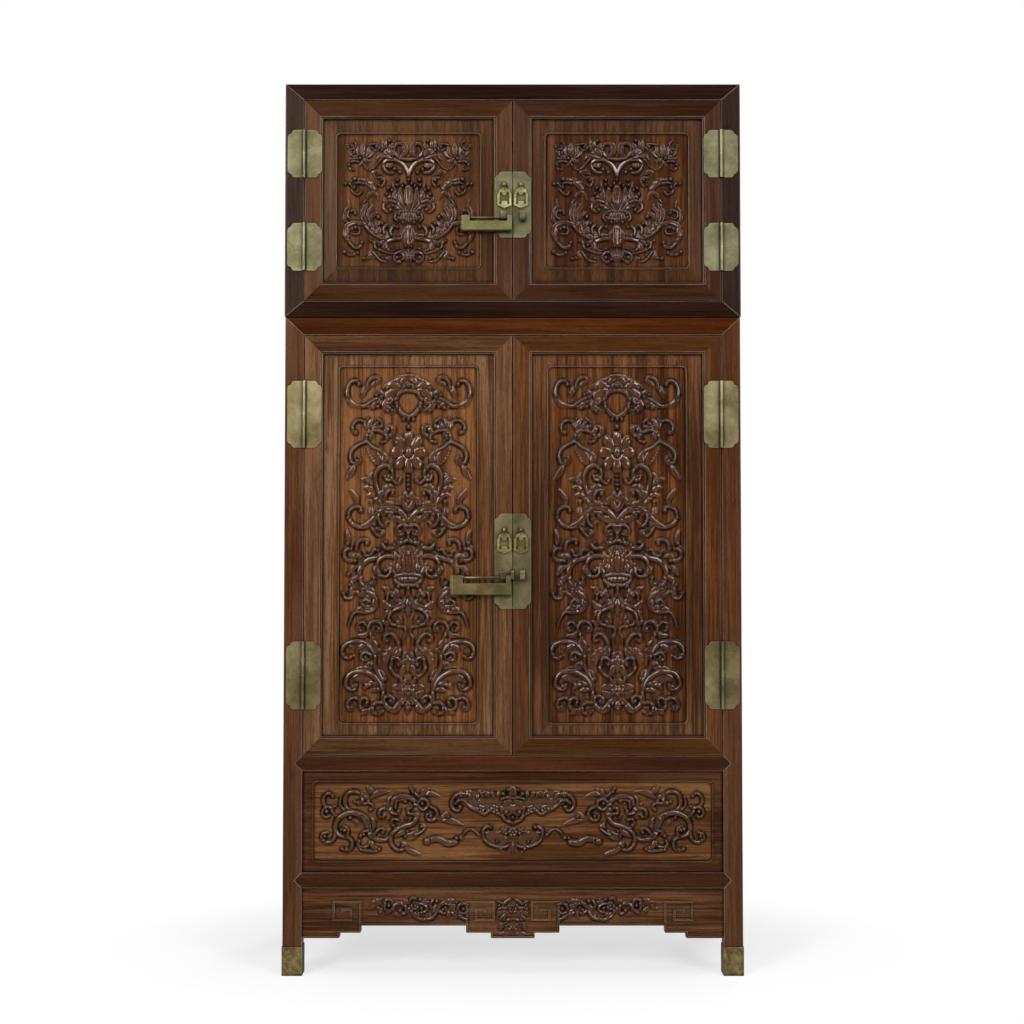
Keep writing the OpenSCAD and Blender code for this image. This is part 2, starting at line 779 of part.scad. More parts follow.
module lower_door_frame() {
    translate([door_gap - lower_open_w / 2, 0, lower_open_z + door_gap])
        door_frame(lower_door_w, lower_door_h, lower_bolt_z + eye_lift - lower_open_z - door_gap);
}

module chest_door_frame() {
    translate([door_gap - chest_open_w / 2, 0, chest_open_z + door_gap])
        door_frame(chest_door_w, chest_door_h, 0);
}

module lower_door_panel() {
    translate([door_gap - lower_open_w / 2 + lower_door_w / 2, 0, lower_open_z + lower_open_h / 2])
        beaded_panel(lower_door_w - 2 * member_w, lower_door_h - 2 * member_w,
            lower_margin_x, lower_margin_z);
}

module chest_door_panel() {
    translate([door_gap - chest_open_w / 2 + chest_door_w / 2, 0, chest_open_z + chest_open_h / 2])
        beaded_panel(chest_door_w - 2 * member_w, chest_door_h - 2 * member_w,
            chest_margin_x, chest_margin_z);
}

module lower_leaves() {
    each_lower_hinge() hinge_leaf(door_leaf_w, lower_hinge_h, door_gap / 2, 1, true);
}

module chest_leaves() {
    each_chest_hinge() hinge_leaf(door_leaf_w, chest_hinge_h, door_gap / 2, 1, true);
}

module lower_plate() {
    difference() {
        translate([-meet_gap / 2, -plate_t, lower_plate_z]) front_slab(plate_t) lock_plate_half(lower_plate_h);
        translate([-meet_gap / 2 - lower_door_w, 0, lower_bolt_z + eye_lift]) staple_notch(lower_door_w, 0);
    }
}

module chest_plate() {
    translate([-meet_gap / 2, -plate_t, chest_plate_z]) front_slab(plate_t) lock_plate_half(chest_plate_h);
}

module fittings(pull_z, bolt_z) {
    translate([-pull_x, -plate_t, pull_z]) pull_post();
    translate([-staple_x, -plate_t - eye_out, bolt_z + eye_lift]) staple(staple_w, eye_out);
}

module pull_at(z) {
    translate([-pull_x, -plate_t - pull_pivot_out, z]) pull_solid();
}

module at_bolt(z) {
    translate([0, -plate_t - eye_out, z]) children();
}

// Inside of the lower cabinet
inner_half = case_w / 2 - board_in - board_t;
shelf_z = lower_open_z + lower_open_h / 2;
chest_shelf_z = chest_open_z + chest_open_h / 2;
chest_inner_half = chest_w / 2 - board_in - board_t;
lid_z = lower_open_z - shelf_t;

module shelf_and_ledgers(half, d, z) {
    translate([loose_fit - half, post_w + loose_fit, z])
        cube([2 * (half - loose_fit), d - 2 * post_w - 2 * loose_fit, shelf_t]);
    both_sides() translate([-half, post_w, z - rest_gap - ledger_t]) cube([ledger_t, d - 2 * post_w, ledger_t]);
}

module lid() {
    finger_r = 14;
    difference() {
        translate([ledger_t / 4 - inner_half, post_w + loose_fit, lid_z])
            cube([inner_half - ledger_t / 4 - loose_fit, case_d - 2 * post_w - 2 * loose_fit, shelf_t]);
        translate([-loose_fit, case_d / 2, lid_z - over]) cylinder(r = finger_r, h = shelf_t + 2 * over);
    }
}

module bearer_frame() {
    z = lid_z - rest_gap - ledger_t;
    both_sides() translate([-inner_half, post_w, z]) cube([ledger_t, case_d - 2 * post_w, ledger_t]);
    translate([-ledger_t, post_w, z]) cube([2 * ledger_t, case_d - 2 * post_w, ledger_t]);
    for (y = [post_w, case_d - post_w - ledger_t])
        both_sides() translate([-inner_half + ledger_t, y, z])
            cube([inner_half - 2 * ledger_t, ledger_t, ledger_t]);
}

// Lower cabinet
module lower_posts() {
    color("saddlebrown") difference() {
        four_posts(case_w, case_d, shoe_t, lower_end_z, lower_top_h, 0);
        lower_grooves();
        lower_front_rail(bottom_z, seam);
        lower_front_rail(sill_z, seam);
        lower_rear_rail(bottom_z, seam);
        lower_rear_rail(sill_z, seam);
        both_sides() lower_side_rail(seam);
    }
}
module lower_top_frame() {
    color("sienna") difference() {
        translate([0, 0, lower_end_z]) mitred_frame(case_w, case_d, lower_top_h);
        lower_grooves();
    }
}
module lower_top_board() {
    color("peru") flat_board(case_w, case_d, lower_cover_z, edge_fit);
}
module sill_rail() {
    color("sienna") difference() {
        lower_front_rail(sill_z, 0);
        lower_grooves();
    }
}
module bottom_rail() {
    color("sienna") difference() {
        lower_front_rail(bottom_z, 0);
        lower_grooves();
    }
}
module lower_side_rails() {
    color("sienna") difference() {
        both_sides() lower_side_rail(0);
        lower_grooves();
    }
}
module lower_rear_rails() {
    color("sienna") difference() {
        union() {
            lower_rear_rail(bottom_z, 0);
            lower_rear_rail(sill_z, 0);
        }
        lower_grooves();
    }
}
module lower_side_boards() {
    color("peru") both_sides() side_board(case_w, case_d, well_z, lower_top_z, board_in, edge_fit);
}
module lower_back_boards() {
    color("peru") {
        back_board(case_w, case_d, well_z, sill_z, board_in, edge_fit);
        back_board(case_w, case_d, lower_open_z, lower_top_z, board_in, edge_fit);
    }
}
module well_panel() {
    color("chocolate") translate([0, 0, well_z + well_h / 2])
        beaded_panel(lower_open_w, well_h, well_margin, well_margin);
}
module well_floor() {
    color("peru") flat_board(case_w, case_d, well_floor_z, edge_fit);
}
module lid_bearers() {
    color("burlywood") bearer_frame();
}
module left_lid() {
    color("tan") lid();
}
module right_lid() {
    color("tan") mirror([1, 0, 0]) lid();
}
module lower_shelf() {
    color("burlywood") shelf_and_ledgers(inner_half, case_d, shelf_z);
}
module apron_front() {
    color("chocolate") apron(lower_open_w, true);
}
module apron_sides() {
    color("chocolate") both_sides() on_left(case_w, case_d) apron(case_d - 2 * post_w, false);
}
module brass_shoes() {
    color("darkkhaki") both_sides() {
        shoe();
        at_rear(case_d) shoe();
    }
}
module shoe() {
    difference() {
        translate([-case_w / 2 - shoe_t, -shoe_t, 0])
            linear_extrude(shoe_h) arris_square(post_w + 2 * shoe_t, post_w + 2 * shoe_t, arris_r + shoe_t);
        translate([-case_w / 2, 0, shoe_t])
            linear_extrude(shoe_h) arris_square(post_w, post_w, arris_r - seam);
    }
}
module centre_post() {
    color("sienna") translate([-centre_post_w / 2, door_t + 2, lower_open_z])
        cube([centre_post_w, centre_post_t, lower_open_h - seam]);
}
module centre_staple() {
    color("khaki") at_bolt(lower_bolt_z + eye_lift)
        staple(centre_staple_w, eye_out + plate_t + door_t + 2);
}
module lower_case_hinges() {
    color("darkkhaki") both_sides() each_lower_hinge() case_hinge(case_leaf_w, lower_hinge_h);
}

// Top chest
module chest_posts() {
    color("saddlebrown") in_chest() difference() {
        four_posts(chest_w, chest_d, chest_z, chest_end_z, chest_rail_h, chest_rail_h);
        chest_grooves();
    }
}
module chest_top_frame() {
    color("sienna") in_chest() difference() {
        translate([0, 0, chest_end_z]) mitred_frame(chest_w, chest_d, chest_rail_h);
        chest_grooves();
    }
}
module chest_top_board() {
    color("peru") in_chest() flat_board(chest_w, chest_d, chest_cover_z, edge_fit);
}
module chest_bottom_frame() {
    color("sienna") in_chest() difference() {
        translate([0, 0, chest_z]) mirror([0, 0, 1]) mitred_frame(chest_w, chest_d, chest_rail_h);
        chest_grooves();
    }
}
module chest_floor() {
    color("peru") in_chest() flat_board(chest_w, chest_d, chest_floor_z, edge_fit);
}
module chest_side_boards() {
    color("peru") in_chest() both_sides()
        side_board(chest_w, chest_d, chest_open_z, chest_top_z, board_in, edge_fit);
}
module chest_back_board() {
    color("peru") in_chest() back_board(chest_w, chest_d, chest_open_z, chest_top_z, board_in, edge_fit);
}
module chest_shelf() {
    color("burlywood") in_chest() shelf_and_ledgers(chest_inner_half, chest_d, chest_shelf_z);
}
module chest_case_hinges() {
    color("darkkhaki") in_chest() both_sides() each_chest_hinge() case_hinge(case_leaf_w, chest_hinge_h);
}

// Doors with their brass, left and right
module lower_left_frame() {
    color("sienna") lower_door_frame();
}
module lower_left_panel() {
    color("chocolate") lower_door_panel();
}
module lower_left_leaves() {
    color("khaki") lower_leaves();
}
module lower_left_plate() {
    color("darkkhaki") lower_plate();
}
module lower_left_fittings() {
    color("khaki") fittings(lower_pull_z, lower_bolt_z);
}
module lower_left_pull() {
    color("gold") pull_at(lower_pull_z);
}
module lower_right_frame() {
    color("sienna") mirror([1, 0, 0]) lower_door_frame();
}
module lower_right_panel() {
    color("chocolate") mirror([1, 0, 0]) lower_door_panel();
}
module lower_right_leaves() {
    color("khaki") mirror([1, 0, 0]) lower_leaves();
}
module lower_right_plate() {
    color("darkkhaki") mirror([1, 0, 0]) lower_plate();
}
module lower_right_fittings() {
    color("khaki") mirror([1, 0, 0]) fittings(lower_pull_z, lower_bolt_z);
}
module lower_right_pull() {
    color("gold") mirror([1, 0, 0]) pull_at(lower_pull_z);
}
module chest_left_frame() {
    color("sienna") in_chest() chest_door_frame();
}
module chest_left_panel() {
    color("chocolate") in_chest() chest_door_panel();
}
module chest_left_leaves() {
    color("khaki") in_chest() chest_leaves();
}
module chest_left_plate() {
    color("darkkhaki") in_chest() chest_plate();
}
module chest_left_fittings() {
    color("khaki") in_chest() fittings(chest_pull_z, chest_bolt_z);
}
module chest_left_pull() {
    color("gold") in_chest() pull_at(chest_pull_z);
}
module chest_right_frame() {
    color("sienna") in_chest() mirror([1, 0, 0]) chest_door_frame();
}
module chest_right_panel() {
    color("chocolate") in_chest() mirror([1, 0, 0]) chest_door_panel();
}
module chest_right_leaves() {
    color("khaki") in_chest() mirror([1, 0, 0]) chest_leaves();
}
module chest_right_plate() {
    color("darkkhaki") in_chest() mirror([1, 0, 0]) chest_plate();
}
module chest_right_fittings() {
    color("khaki") in_chest() mirror([1, 0, 0]) fittings(chest_pull_z, chest_bolt_z);
}
module chest_right_pull() {
    color("gold") in_chest() mirror([1, 0, 0]) pull_at(chest_pull_z);
}

// Padlocks, each hung by its bolt from the left door's staple
module lower_padlock() {
    color("olive") at_bolt(lower_bolt_z)
        padlock(lower_lock_l, lower_lock_h, lower_bolt_up, lower_horn_w, lower_inner);
}
module lower_bolt() {
    color("khaki") at_bolt(lower_bolt_z)
        lock_bolt(lower_lock_l, lower_lock_h, lower_bolt_up, lower_inner);
}
module chest_padlock() {
    color("olive") in_chest() at_bolt(chest_bolt_z)
        padlock(chest_lock_l, chest_lock_h, chest_bolt_up, chest_horn_w, chest_inner);
}
module chest_bolt() {
    color("khaki") in_chest() at_bolt(chest_bolt_z)
        lock_bolt(chest_lock_l, chest_lock_h, chest_bolt_up, chest_inner);
}

module placed() {
    translate([0, front_y, 0]) children();
}

placed() lower_posts();
placed() lower_top_frame();
placed() lower_top_board();
placed() sill_rail();
placed() bottom_rail();
placed() lower_side_rails();
placed() lower_rear_rails();
placed() lower_side_boards();
placed() lower_back_boards();
placed() well_panel();
placed() well_floor();
placed() lid_bearers();
placed() lower_shelf();
placed() apron_front();
placed() apron_sides();
placed() brass_shoes();
placed() centre_post();
placed() centre_staple();
placed() lower_case_hinges();
placed() left_lid();
placed() right_lid();
placed() chest_posts();
placed() chest_top_frame();
placed() chest_top_board();
placed() chest_bottom_frame();
placed() chest_floor();
placed() chest_side_boards();
placed() chest_back_board();
placed() chest_shelf();
placed() chest_case_hinges();
placed() lower_left_frame();
placed() lower_left_panel();
placed() lower_left_leaves();
placed() lower_left_plate();
placed() lower_left_fittings();
placed() lower_left_pull();
placed() lower_right_frame();
placed() lower_right_panel();
placed() lower_right_leaves();
placed() lower_right_plate();
placed() lower_right_fittings();
placed() lower_right_pull();
placed() chest_left_frame();
placed() chest_left_panel();
placed() chest_left_leaves();
placed() chest_left_plate();
placed() chest_left_fittings();
placed() chest_left_pull();
placed() chest_right_frame();
placed() chest_right_panel();
placed() chest_right_leaves();
placed() chest_right_plate();
placed() chest_right_fittings();
placed() chest_right_pull();
placed() lower_padlock();
placed() lower_bolt();
placed() chest_padlock();
placed() chest_bolt();
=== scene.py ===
import bpy
import bmesh
import math
import numpy as np
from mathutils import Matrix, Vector


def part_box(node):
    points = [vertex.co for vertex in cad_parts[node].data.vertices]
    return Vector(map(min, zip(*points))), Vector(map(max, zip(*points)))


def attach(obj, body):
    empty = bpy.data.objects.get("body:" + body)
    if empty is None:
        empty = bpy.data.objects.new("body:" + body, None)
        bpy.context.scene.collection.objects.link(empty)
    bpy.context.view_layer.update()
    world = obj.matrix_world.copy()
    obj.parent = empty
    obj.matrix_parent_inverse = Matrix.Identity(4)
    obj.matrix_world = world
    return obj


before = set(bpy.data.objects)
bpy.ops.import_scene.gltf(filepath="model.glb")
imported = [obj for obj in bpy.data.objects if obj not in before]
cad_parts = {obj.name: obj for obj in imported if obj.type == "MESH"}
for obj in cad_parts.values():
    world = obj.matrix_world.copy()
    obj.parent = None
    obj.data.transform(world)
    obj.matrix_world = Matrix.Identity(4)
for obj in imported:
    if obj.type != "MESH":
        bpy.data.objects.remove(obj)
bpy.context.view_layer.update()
mm = 0.001


def linear(code):
    """sRGB hex to linear RGBA."""
    parts = [int(code[i:i + 2], 16) / 255 for i in (1, 3, 5)]
    return tuple(c / 12.92 if c <= 0.04045 else ((c + 0.055) / 1.055) ** 2.4 for c in parts) + (1,)


# Camera: straight on, below half height, tilted up a little, as the cabinet was photographed
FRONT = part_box("lower_posts")[0][1]
CAM_DIST = 4.3
CAM_HEIGHT = 1.087
CAM_PITCH = 2.0
CAM_FOCAL_PX = 1598
PICTURE_PX = 1024
SENSOR = 36
cam_data = bpy.data.cameras.new("camera")
cam_data.sensor_width = SENSOR
cam_data.lens = SENSOR * CAM_FOCAL_PX / PICTURE_PX
camera = bpy.data.objects.new("camera", cam_data)
camera.location = (-0.002, FRONT - CAM_DIST, CAM_HEIGHT)
camera.rotation_euler = (math.radians(90 + CAM_PITCH), 0, 0)
bpy.context.scene.collection.objects.link(camera)
bpy.context.scene.camera = camera
bpy.context.scene.view_settings.view_transform = "Standard"


def add(tree, kind, feeds=None, out=0, stops=None, **settings):
    """Adds a node with its settings and links and returns one of its outputs.
    stops are a ramp's positions and colours."""
    node = tree.nodes.new("ShaderNode" + kind)
    for key, value in settings.items():
        setattr(node, key, value)
    if stops:
        while len(node.color_ramp.elements) < len(stops):
            node.color_ramp.elements.new(0.5)
        for element, (at, colour) in zip(node.color_ramp.elements, stops):
            element.position = at
            element.color = linear(colour) if isinstance(colour, str) else (colour,) * 3 + (1,)
    for key, value in (feeds or {}).items():
        if isinstance(value, bpy.types.NodeSocket):
            tree.links.new(value, node.inputs[key])
        else:
            node.inputs[key].default_value = linear(value) if isinstance(value, str) else value
    return node.outputs[out] if node.outputs else node


def new_material(name):
    material = bpy.data.materials.new(name)
    material.use_nodes = True
    material.node_tree.nodes.clear()
    return material, material.node_tree


def middle(node, axis):
    """Centre and half size of a node along an axis, for the mitres of a frame."""
    low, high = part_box(node)
    i = "xyz".index(axis)
    return (low[i] + high[i]) / 2, (high[i] - low[i]) / 2


RING_COUNT = 46
BEAD_SHADE_REACH = 12 * mm
WOOD_SHADE_REACH = 9 * mm
WOOD_ARRIS = 2.6 * mm
BRASS_SHADE_REACH = 12 * mm
BRASS_ARRIS = 1.6 * mm
ACROSS_GLOSS = 0.1
UPRIGHT_GLOSS = 0.32    # upright fibres catch the light from the sides
BEAD_CORNER = 12        # radius in mm of the bead line's corners
FAR = 10                # metres, more than any part of the cabinet
TONGUE = 7.4 * mm       # of a panel, in the groove of its frame
MARGINS = {"lower": (43, 33), "chest": (36, 39), "well": (29, 29)}  # beside and above the bead, in mm


def along_grain(t, axis, mitre, shift):
    """Object coordinates turned so that Z runs with the grain. A frame has two axes: each
    point takes the member that it belongs to, parted along the mitre; the second value
    tells the member along the first axis."""
    turn = {"z": (0, 0, 0), "x": (0, math.pi / 2, 0), "y": (math.pi / 2, 0, 0)}
    place = add(t, "TexCoord", out="Object")
    turned = [add(t, "Mapping", {"Vector": place, "Location": (shift, shift / 2, 0), "Rotation": turn[a]})
              for a in axis]
    if len(axis) == 1:
        return turned[0], None
    away = []
    for a, (centre, half) in zip(axis, mitre):
        xyz = add(t, "SeparateXYZ", {0: place}, out=a.upper())
        from_centre = add(t, "Math", {0: add(t, "Math", {0: xyz, 1: centre}, operation="SUBTRACT")},
                          operation="ABSOLUTE")
        away.append(add(t, "Math", {0: half, 1: from_centre}, operation="SUBTRACT"))
    first = add(t, "Math", {0: away[0], 1: away[1]}, operation="GREATER_THAN")
    return add(t, "Mix", {0: first, 4: turned[1], 5: turned[0]}, out=1, data_type="VECTOR"), first


def bead_distance(t, bead):
    """Distance in metres from the bead line of a panel, positive outside it. The panel's
    back is put a metre away, since the bead is on its face."""
    centre, half_w, half_h = bead
    place = add(t, "TexCoord", out="Object")
    away = add(t, "VectorMath", {0: place, 1: (centre[0], 0, centre[2])}, operation="SUBTRACT")
    away = add(t, "VectorMath", {0: away}, operation="ABSOLUTE")
    straight = ((half_w - BEAD_CORNER) * mm, FAR, (half_h - BEAD_CORNER) * mm)
    past = add(t, "VectorMath", {0: away, 1: straight}, operation="SUBTRACT")
    beyond = add(t, "VectorMath", {0: past, 1: (0, 0, 0)}, operation="MAXIMUM")
    outside = add(t, "VectorMath", {0: beyond}, out="Value", operation="LENGTH")
    part = add(t, "SeparateXYZ", {0: past}).node.outputs
    inside = add(t, "Math", {0: add(t, "Math", {0: part["X"], 1: part["Z"]}, operation="MAXIMUM"), 1: 0},
                 operation="MINIMUM")
    distance = add(t, "Math", {0: outside, 1: inside}, operation="ADD")
    normal_y = add(t, "SeparateXYZ", {0: add(t, "TexCoord", out="Normal")}, out="Y")
    back = add(t, "Math", {0: normal_y, 1: 0.5}, operation="GREATER_THAN")
    distance = add(t, "Math", {0: distance, 1: back}, operation="ADD")
    return add(t, "Math", {0: distance, 1: BEAD_CORNER * mm}, operation="SUBTRACT")


def wood_layers(t, grain):
    """Noise of the wood's marks, each stretched along the grain: marks a metre across it
    and along it, detail, roughness and bend."""
    layer = {}
    for part, across, along, detail, rough, bend in (
            ("figure", 34, 1.3, 3, 0.55, 0.5), ("streak", 120, 2.4, 3, 0.6, 0),
            ("fibre", 620, 9, 2, 0.6, 0), ("pore", 900, 60, 1, 0.55, 0),
            ("cloud", 3.4, 1.5, 2, 0.55, 0), ("rubbing", 40, 6, 3, 0.7, 0)):
        stretch = add(t, "Mapping", {"Vector": grain, "Scale": (across, across, along)})
        layer[part] = add(t, "TexNoise", {"Vector": stretch, "Scale": 1.0, "Detail": detail,
                                          "Roughness": rough, "Distortion": bend})
    rings = add(t, "Math", {0: layer["figure"], 1: RING_COUNT}, operation="MULTIPLY")
    layer["rings"] = add(t, "Math", {0: rings}, operation="SINE")
    return layer


def wood_tone(t, layer, colours):
    """Colour of the bare wood, from dark streaks to light ones."""
    dark, mid, light = colours
    tone = 0.0
    for part, share in (("figure", 0.29), ("streak", 0.275), ("rings", 0.02), ("fibre", 0.23),
                        ("cloud", 0.30)):
        tone = add(t, "Math", {0: layer[part], 1: share, 2: tone}, operation="MULTIPLY_ADD")
    return add(t, "ValToRGB", {0: tone}, stops=[(0.485, dark), (0.55, mid), (0.62, light)])


def painted_bead_shade(t, wood, bead):
    """Painted shade: dark lines painted on the panel along both sides of its bead."""
    across = add(t, "Math", {0: bead_distance(t, bead), 1: 1 / BEAD_SHADE_REACH, 2: 0.5}, operation="MULTIPLY_ADD")
    line = add(t, "ValToRGB", {0: across}, stops=[(0.16, 1.0), (0.29, 0.3), (0.38, 1.0), (0.58, 1.0),
                                                  (0.69, 0.12), (0.80, 0.5), (1.0, 1.0)])
    return add(t, "Mix", {0: 1.0, 6: wood, 7: line}, out=2, data_type="RGBA", blend_type="MULTIPLY")


def carved_finish(t, wood, open_air):
    """Carved wood: a deeper red on top, painted near black in the hollows as painted shade, glossy where it
    is open.
    Returns its colour, gloss and coat of wax."""
    relief = add(t, "Attribute", out="Fac", attribute_name="relief")
    hollow = add(t, "Attribute", out="Fac", attribute_name="hollow")
    on_top = add(t, "ValToRGB", {0: relief}, stops=[(0.04, 0.0), (0.3, 0.6)])
    gouge_shade = add(t, "ValToRGB", {0: hollow}, stops=[(0.04, 0.0), (0.4, 0.96)])
    wood = add(t, "Mix", {0: on_top, 6: wood, 7: "#421c0a"}, out=2, data_type="RGBA")
    # Painted shade: the gouges round each form are darkened to near black
    wood = add(t, "Mix", {0: gouge_shade, 6: wood, 7: "#0a0402"}, out=2, data_type="RGBA")
    free = add(t, "Math", {0: open_air, 1: open_air}, operation="MULTIPLY")
    waxed = add(t, "ValToRGB", {0: relief}, stops=[(0.1, 0.05), (0.5, 0.62)])
    coat = add(t, "Math", {0: free, 1: waxed}, operation="MULTIPLY")
    return wood, add(t, "Math", {0: free, 1: 0.12}, operation="MULTIPLY"), coat


def rubbed_and_glinting_edges(t, skin, radius, stops, pale, patches=None):
    """Colour of a surface whose arrises are painted pale, as the bevelled normal turns away
    from the flat one: part rubbed by use, part a painted highlight of light on the rounded
    arris. patches leave some stretches less pale."""
    rounded = add(t, "Bevel", {"Radius": radius}, samples=4)
    flat = add(t, "NewGeometry", out="Normal")
    facing = add(t, "VectorMath", {0: rounded, 1: flat}, out="Value", operation="DOT_PRODUCT")
    edge = add(t, "ValToRGB", {0: facing}, stops=stops)
    if patches is not None:
        edge = add(t, "Math", {0: edge, 1: patches}, operation="MULTIPLY")
    return add(t, "Mix", {0: edge, 6: skin, 7: pale}, out=2, data_type="RGBA")


def painted_shade_in_corners(t, skin, open_air, stops):
    # Painted shade: the colour is darkened where ambient occlusion finds corners, contacts and gaps
    unshaded = add(t, "ValToRGB", {0: open_air}, stops=stops)
    return add(t, "Mix", {0: 1.0, 6: skin, 7: unshaded}, out=2, data_type="RGBA", blend_type="MULTIPLY")


def rosewood(name, axis, colours, mitre=None, shift=0.0, carved=False, sheen=0.24, arris_wear_and_glint=0.6,
             rails=1.0, bead=None):
    """Old rosewood, planed, oiled and waxed by hand: the eye sees long dark streaks 8 to
    25 mm wide, fibre about 1.5 mm wide (drawn coarser than it is), short open pores,
    painted shade in every corner and arrises painted pale, part rubbed by use and part a
    painted highlight on the rounded edge. The sheen of the flat wood comes from fibres
    under the oil, so it is warm. rails is the tone of a frame's rails to its stiles, a
    painted shade that makes the rails darker and more red. bead is the bead line of a
    panel, along which painted shade lines run on both sides."""
    material, t = new_material(name)
    grain, across_member = along_grain(t, axis, mitre, shift)
    layer = wood_layers(t, grain)
    wood = wood_tone(t, layer, colours)
    # Painted shade: a frame's rails are made darker and more red than its stiles
    if rails != 1.0:
        rail_shade = (rails, rails * 0.92, rails * 0.84, 1)
        wood = add(t, "Mix", {0: across_member, 6: wood, 7: rail_shade}, out=2, data_type="RGBA",
                   blend_type="MULTIPLY")
    open_pore = add(t, "ValToRGB", {0: layer["pore"]}, stops=[(0.33, 1.0), (0.43, 0.0)])
    soot = add(t, "Math", {0: open_pore, 1: 0.5}, operation="MULTIPLY")
    wood = add(t, "Mix", {0: soot, 6: wood, 7: "#140805"}, out=2, data_type="RGBA")
    dull = add(t, "Math", {0: layer["fibre"], 1: 0.16, 2: sheen - 0.08}, operation="MULTIPLY_ADD")
    height = add(t, "Math", {0: layer["fibre"], 1: open_pore}, operation="SUBTRACT")
    bump = add(t, "Bump", {"Height": height, "Strength": 0.25, "Distance": 0.06 * mm})
    open_air = add(t, "AmbientOcclusion", {"Distance": WOOD_SHADE_REACH}, out="AO", samples=6)
    # Painted shade along both sides of the bead
    if bead:
        wood = painted_bead_shade(t, wood, bead)
    gloss = ACROSS_GLOSS if axis[0] == "x" and not mitre else UPRIGHT_GLOSS
    if mitre:
        gloss = add(t, "Math", {0: across_member, 1: -0.24, 2: 0.34}, operation="MULTIPLY_ADD")
    coat = 0.0
    if carved:
        wood, gloss, coat = carved_finish(t, wood, open_air)
    else:
        # Arrises painted pale: part rubbed by use, part painted highlight on the rounded edge
        rubbed = add(t, "ValToRGB", {0: layer["rubbing"]}, stops=[(0.32, 0.25 * arris_wear_and_glint), (0.52, arris_wear_and_glint)])
        wood = rubbed_and_glinting_edges(t, wood, WOOD_ARRIS, [(0.80, 1.0), (0.985, 0.0)], "#b8a48f", rubbed)
    # Painted shade in every corner, from ambient occlusion
    wood = painted_shade_in_corners(t, wood, open_air, [(0.5, 0.03), (1.0, 1.0)])
    shader = add(t, "BsdfPrincipled", {"Base Color": wood, "Roughness": dull, "Normal": bump,
                                       "Specular IOR Level": gloss, "Specular Tint": (1, 0.82, 0.62, 1),
                                       "Coat Weight": coat, "Coat Roughness": 0.12})
    add(t, "OutputMaterial", {0: shader})
    return material


def old_brass(name, tone, deep, pale, blotch, dullness=0.36):
    """Sheet and cast brass, filed and rubbed with ash, then left to age: the eye sees an
    olive skin in soft blotches 20 to 50 mm wide and fine scratches that run upwards."""
    material, t = new_material(name)
    place = add(t, "TexCoord", out="Object")
    cloud = add(t, "TexNoise", {"Vector": place, "Scale": blotch, "Detail": 4, "Roughness": 0.62})
    speck = add(t, "TexNoise", {"Vector": place, "Scale": 260, "Detail": 3, "Roughness": 0.6})
    rub = add(t, "Mapping", {"Vector": place, "Scale": (900, 900, 50)})
    scratch = add(t, "TexNoise", {"Vector": rub, "Scale": 1.0, "Detail": 2})
    age = add(t, "Math", {0: cloud, 1: 0.85}, operation="MULTIPLY")
    age = add(t, "Math", {0: speck, 1: 0.22, 2: age}, operation="MULTIPLY_ADD")
    skin = add(t, "ValToRGB", {0: age}, stops=[(0.43, deep), (0.55, tone), (0.70, pale)])
    # Arrises painted pale: part rubbed by use, part painted highlight on the rounded edge
    skin = rubbed_and_glinting_edges(t, skin, BRASS_ARRIS, [(0.86, 0.5), (0.99, 0.0)], "#cfc79a")
    # Painted shade in corners and round what stands on the brass, from ambient occlusion
    open_air = add(t, "AmbientOcclusion", {"Distance": BRASS_SHADE_REACH}, out="AO", samples=6)
    skin = painted_shade_in_corners(t, skin, open_air, [(0.4, 0.1), (0.95, 1.0)])
    dull = add(t, "Math", {0: speck, 1: 0.3, 2: dullness - 0.12}, operation="MULTIPLY_ADD")
    height = add(t, "Math", {0: speck, 1: 1.5, 2: scratch}, operation="MULTIPLY_ADD")
    bump = add(t, "Bump", {"Height": height, "Strength": 0.2, "Distance": 0.1 * mm})
    shader = add(t, "BsdfPrincipled", {"Base Color": skin, "Metallic": 0.85, "Roughness": dull,
                                       "Normal": bump})
    add(t, "OutputMaterial", {0: shader})
    return material


POST = ("#411f0c", "#502c16", "#5c3a24")
TOP_RAIL = ("#351204", "#421f07", "#512a0f")
RAIL = ("#32190e", "#3e2010", "#4c2915")
DOOR = ("#4f2f1d", "#634027", "#765339")
CHEST = ("#120404", "#1f0b05", "#291710")
CHEST_POST = ("#1b110e", "#241511", "#2d1c16")
CHEST_DOOR = ("#3c1e0e", "#4b2d1b", "#5a3824")
# Painted light and shade: the right door takes darker, more red copies (_RED_SHADED) of the left door's
# palettes, as the left side is lit more
DOOR_RED_SHADED = ("#3e1f0a", "#532f15", "#643e1f")
CHEST_DOOR_RED_SHADED = ("#321a0e", "#402417", "#4e3021")
PANEL = ("#452712", "#633f22", "#7c5c42")
PANEL_RED_SHADED = ("#361a0b", "#58341c", "#70492a")
CHEST_PANEL = ("#2e180a", "#3f2310", "#50331d")
CHEST_PANEL_RED_SHADED = ("#2d160b", "#3f2211", "#52311e")
GROUND_TONE = ("#4c2b14", "#6f4525", "#845a38")
GROUND_RED_SHADED = ("#371a0a", "#5b341a", "#744a2a")
CHEST_GROUND = ("#3f2310", "#56331b", "#6b4629")
CHEST_GROUND_RED_SHADED = ("#34190d", "#4c2a16", "#613e25")
WELL_GROUND = ("#482810", "#643e22", "#7a5430")
WELL = ("#361a09", "#442514", "#583520")
APRON = ("#371f12", "#54331d", "#6b4a31")
INSIDE = ("#5a3c26", "#86603f", "#a8825c")


def panel_field(node, case):
    """Centre of a panel, and its half width and half height to the line of its bead, in mm."""
    low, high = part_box(node)
    mx, mz = MARGINS[case]
    return ((low + high) / 2, (high[0] - low[0] - 2 * TONGUE) / 2 / mm - mx,
            (high[2] - low[2] - 2 * TONGUE) / 2 / mm - mz)


